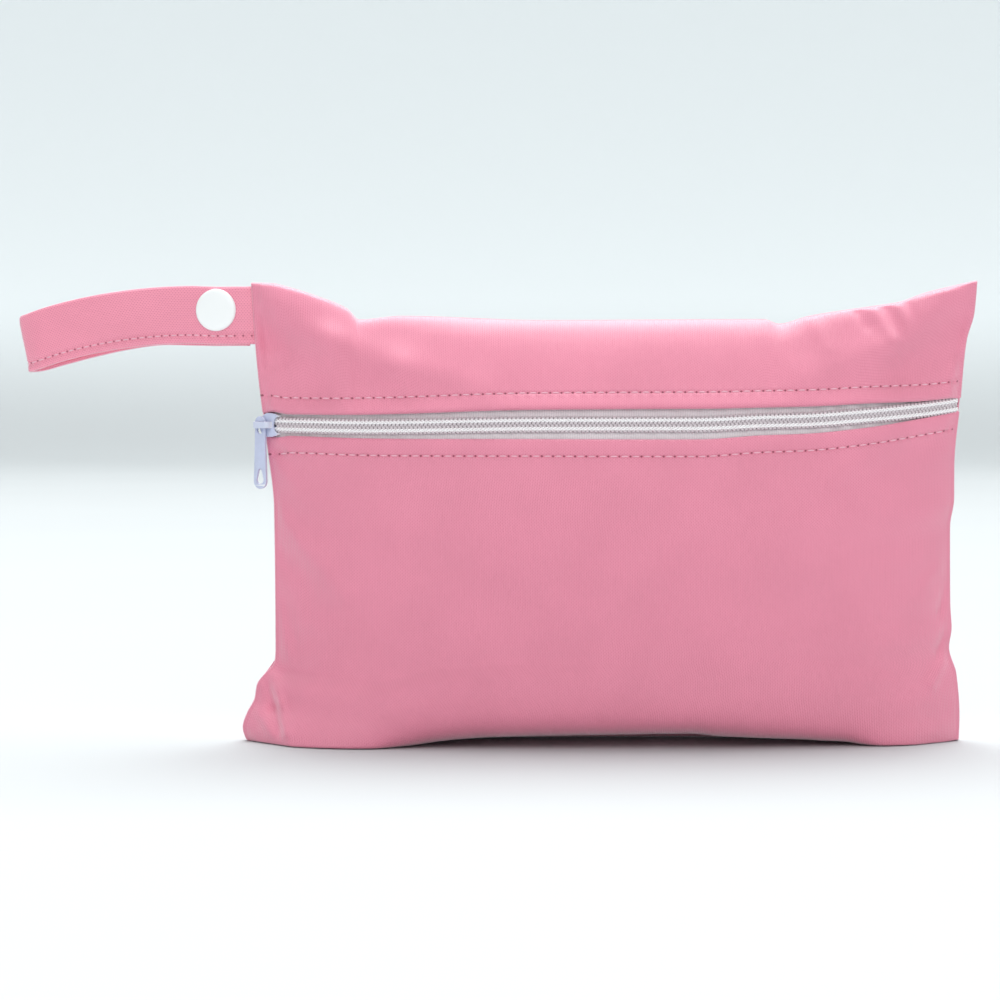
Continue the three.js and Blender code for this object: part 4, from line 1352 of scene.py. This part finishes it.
class WETBAG_OT_strap(bpy.types.Operator):
    """Add the strap and the stitches along its lower edge"""

    bl_idname = "wetbag.strap"
    bl_label = "Add Strap"

    def execute(self, context):
        cloth = context.scene.wetbag_cloth
        pitch = cloth.stitch / MM * 0.8
        wale, course = cloth.wale / MM, cloth.course / MM
        material = knit_material("strap_knit", cloth.strap, cloth.strap_hollow_shade, wale, course, pitch)
        line, _, out, up = strap_line(STRAP_STEPS)
        run = np.concatenate([[0], np.cumsum(np.linalg.norm(np.diff(line, axis=0), axis=1))])
        half = through([(*pair, 0.0) for pair in STRAP_SECTION], 44)[:, :2]
        section = np.concatenate([half, half[-2:0:-1] * [1, -1]])
        thin = np.clip((run[-1] - run) / 1.2, 0.35, 1)
        swell = strap_wave(run[:, None], section[None, :, 0]) * np.clip(np.abs(section[:, 1]) / 0.6, 0, 1)
        outness = section[None, :, 1] * thin[:, None] + swell * np.sign(section[None, :, 1]) * 0.6
        rings = line[:, None] + up[:, None] * section[None, :, :1] + out[:, None] * outness[..., None]
        knit, stitch = np.zeros(rings.shape), np.zeros(rings.shape)
        knit[..., 0] = section[None, :, 0]
        knit[..., 1] = run[:, None]
        stitch[..., 0] = run[:, None]
        stitch[..., 1] = np.abs(section[None, :, 0] - STRAP_STITCH_UP)
        points, faces = loft(rings)
        vectors = {"knit": knit, "stitch": stitch}
        add_piece(
            "strap_cloth", points, faces, material, replaces=("strap",), vectors=vectors
        )
        thread = shared_material("sewing_thread", thread_material, cloth.sewing)
        starts = np.arange(3, int(run[-1] / pitch) - 1) * pitch + STITCH_START * pitch
        solids = []
        for face in (1, -1):

            def seam(at, face=face):
                point = [np.interp(at, run, line[:, k]) for k in range(3)]
                upward = [np.interp(at, run, up[:, k]) for k in range(3)]
                outward = [np.interp(at, run, out[:, k]) for k in range(3)]
                point, upward, outward = (np.stack(v, axis=1) for v in (point, upward, outward))
                return point + upward * STRAP_STITCH_UP + outward * STRAP_STITCH_OUT * face

            def away(at, face=face):
                return unit(np.stack([np.interp(at, run, out[:, k]) for k in range(3)], axis=1)) * face

            solids.append(threads(seam, away, starts, STITCH_SHARE * pitch, cloth.thread / MM * 0.42))
        points, faces = gathered(solids)
        add_piece("strap_stitches", points, faces, thread)
        return {"FINISHED"}


def snap_matrix():
    """Snap's frame: right, up and out of the strap's front layer, from the middle of that layer."""
    line, _, out, _ = strap_line(0)
    face = out[SNAP_ROW] * (-1 if out[SNAP_ROW][1] > 0 else 1)
    face[2] = 0
    face = unit(face)
    right = np.cross([0.0, 0.0, 1.0], face)
    place = line[SNAP_ROW] + np.array([0, 0, SNAP_ABOVE_STRAP])
    return np.stack([right, [0.0, 0.0, 1.0], face]), place


class WETBAG_OT_snap(bpy.types.Operator):
    """Add the snap's two caps, its stud and its socket"""

    bl_idname = "wetbag.snap"
    bl_label = "Add Snap"

    def execute(self, context):
        material = shared_material("snap_plastic", snap_material, context.scene.wetbag_hardware.snap)
        axes, place = snap_matrix()
        rim = [(5.7, 0.72), (6.05, 0.85), (6.2, 1.2), (6.12, 1.58), (5.8, 1.88), (5.2, 2.06), (4.2, 2.18)]
        cap = [(0.9, 0.72), *rim, (2.8, 2.27), (1.4, 2.31), (0.4, 2.32), (0, 2.32)]
        front = [(0, -1.6), (0.8, -1.6), (0.9, -1.4), *cap]
        back = [(0, -3.45), (0.8, -3.45), (0.9, -3.6)]
        back += [(radius, SNAP_BACK_LEVEL - level * 0.92) for radius, level in cap]
        stud = [(0, -1.6), (1.2, -1.6), (1.2, -1.1), (4.2, -1.1), (4.5, -1.35), (4.5, -1.95), (4.2, -2.2)]
        stud += [(2.3, -2.2), (2.0, -2.5), (2.1, -3.1), (1.9, -3.3), (0.2, -3.3), (0, -3.3)]
        pieces = {
            "snap_front": (front, "snap_cap_front"),
            "snap_back": (back, "snap_cap_back"),
            "snap_post": (stud, "snap_stud"),
        }
        for name, (profile, node) in pieces.items():
            points, faces = turned(profile, SNAP_SIDES)
            points = points @ axes + place
            add_piece(name, points, faces, material, replaces=(node,), sharp=50)
        angle = np.linspace(0, 2 * math.pi, SNAP_RING_SIDES, endpoint=False)
        section = [(2.4, -3.6), (2.4, -2.5), (4.2, -2.5), (4.5, -2.75), (4.5, -3.35), (4.2, -3.6)]
        rings = np.array([[(r * math.cos(a), r * math.sin(a), n) for r, n in section] for a in angle])
        i, j = np.meshgrid(np.arange(len(angle)), np.arange(len(section)), indexing="ij")
        ahead, beside = (i + 1) % len(angle), (j + 1) % len(section)
        around = len(section)
        corners = (i * around + j, i * around + beside, ahead * around + beside, ahead * around + j)
        faces = np.stack(corners, axis=-1).reshape(-1, 4)
        points = rings.reshape(-1, 3) @ axes + place
        add_piece("snap_ring", points, faces, material, replaces=("snap_socket",), sharp=50)
        return {"FINISHED"}


# Studio


class WETBAG_OT_stage(bpy.types.Operator):
    """Add the studio's sweep, its lights and the camera"""

    bl_idname = "wetbag.stage"
    bl_label = "Add Stage"

    def execute(self, context):
        scene, settings = context.scene, context.scene.wetbag_stage
        profile = [(-SWEEP_FLOOR, 0), (SWEEP_FLOOR, 0)]
        for a in np.linspace(0.05, math.pi / 2, 30):
            back, rise = SWEEP_RADIUS * math.sin(a), SWEEP_RADIUS * math.cos(a)
            profile.append((SWEEP_FLOOR + back, SWEEP_RADIUS - rise))
        profile.append((SWEEP_FLOOR + SWEEP_RADIUS, SWEEP_TOP))
        points = [(x, y, z) for y, z in profile for x in (-SWEEP_HALF, SWEEP_HALF)]
        faces = [(2 * k, 2 * k + 1, 2 * k + 3, 2 * k + 2) for k in range(len(profile) - 1)]
        mesh = bpy.data.meshes.new("sweep")
        mesh.from_pydata(points, [], faces)
        mesh.shade_smooth()
        material = shared_material("studio_sweep", studio_material, settings.sweep, settings.backdrop)
        mesh.materials.append(material)
        sweep = bpy.data.objects.new("sweep", mesh)
        scene.collection.objects.link(sweep)
        world = bpy.data.worlds.new("studio")
        world.use_nodes = True
        background = world.node_tree.nodes["Background"]
        background.inputs[0].default_value = colour(settings.sky)
        background.inputs[1].default_value = settings.sky_strength
        scene.world = world
        lights = (("overhead", settings.overhead, OVERHEAD_LEAN), ("front", settings.fill, FRONT_LEAN))
        for name, strength, lean in lights:
            data = bpy.data.lights.new(name, "SUN")
            data.energy = strength
            data.angle = settings.breadth
            lamp = bpy.data.objects.new(name, data)
            lamp.rotation_euler = (math.radians(lean), math.radians(LIGHT_TURN), 0)
            scene.collection.objects.link(lamp)
        data = bpy.data.cameras.new("camera")
        data.lens = settings.lens
        data.clip_start = 0.05
        data.clip_end = 50
        camera = bpy.data.objects.new("camera", data)
        camera.location = (settings.camera_side, -settings.camera_distance, settings.camera_height)
        camera.rotation_euler = (math.pi / 2 - settings.pitch, 0, 0)
        scene.collection.objects.link(camera)
        scene.camera = camera
        scene.view_settings.view_transform = "Standard"
        return {"FINISHED"}


class WETBAG_PT_panel(bpy.types.Panel):
    """Sidebar panel of the wet bag"""

    bl_label = "Wet Bag"
    bl_idname = "WETBAG_PT_panel"
    bl_space_type = "VIEW_3D"
    bl_region_type = "UI"
    bl_category = "Wet Bag"

    def draw(self, context):
        for operator in OPERATORS:
            self.layout.operator(operator.bl_idname)
        for label in SETTINGS:
            group = getattr(context.scene, label)
            section = self.layout.box()
            for key in group.__annotations__:
                section.prop(group, key)


OPERATORS = (
    WETBAG_OT_pouch,
    WETBAG_OT_hem_stitches,
    WETBAG_OT_zip_tapes,
    WETBAG_OT_zip_coils,
    WETBAG_OT_slider,
    WETBAG_OT_pull,
    WETBAG_OT_strap,
    WETBAG_OT_snap,
    WETBAG_OT_stage,
)
SETTINGS = {
    "wetbag_cloth": ClothSettings,
    "wetbag_zip": ZipSettings,
    "wetbag_hardware": HardwareSettings,
    "wetbag_stage": StageSettings,
}


def register():
    """Registers the settings, the operators and the panel."""
    for label, group in SETTINGS.items():
        bpy.utils.register_class(group)
        setattr(bpy.types.Scene, label, bpy.props.PointerProperty(type=group))
    for operator in OPERATORS:
        bpy.utils.register_class(operator)
    bpy.utils.register_class(WETBAG_PT_panel)


def unregister():
    """Takes the panel, the operators and the settings away again."""
    bpy.utils.unregister_class(WETBAG_PT_panel)
    for operator in reversed(OPERATORS):
        bpy.utils.unregister_class(operator)
    for label, group in reversed(SETTINGS.items()):
        delattr(bpy.types.Scene, label)
        bpy.utils.unregister_class(group)


def main():
    """Builds the bag and its studio."""
    register()
    for operator in OPERATORS:
        group, name = operator.bl_idname.split(".")
        getattr(getattr(bpy.ops, group), name)()


if __name__ == "__main__":
    main()
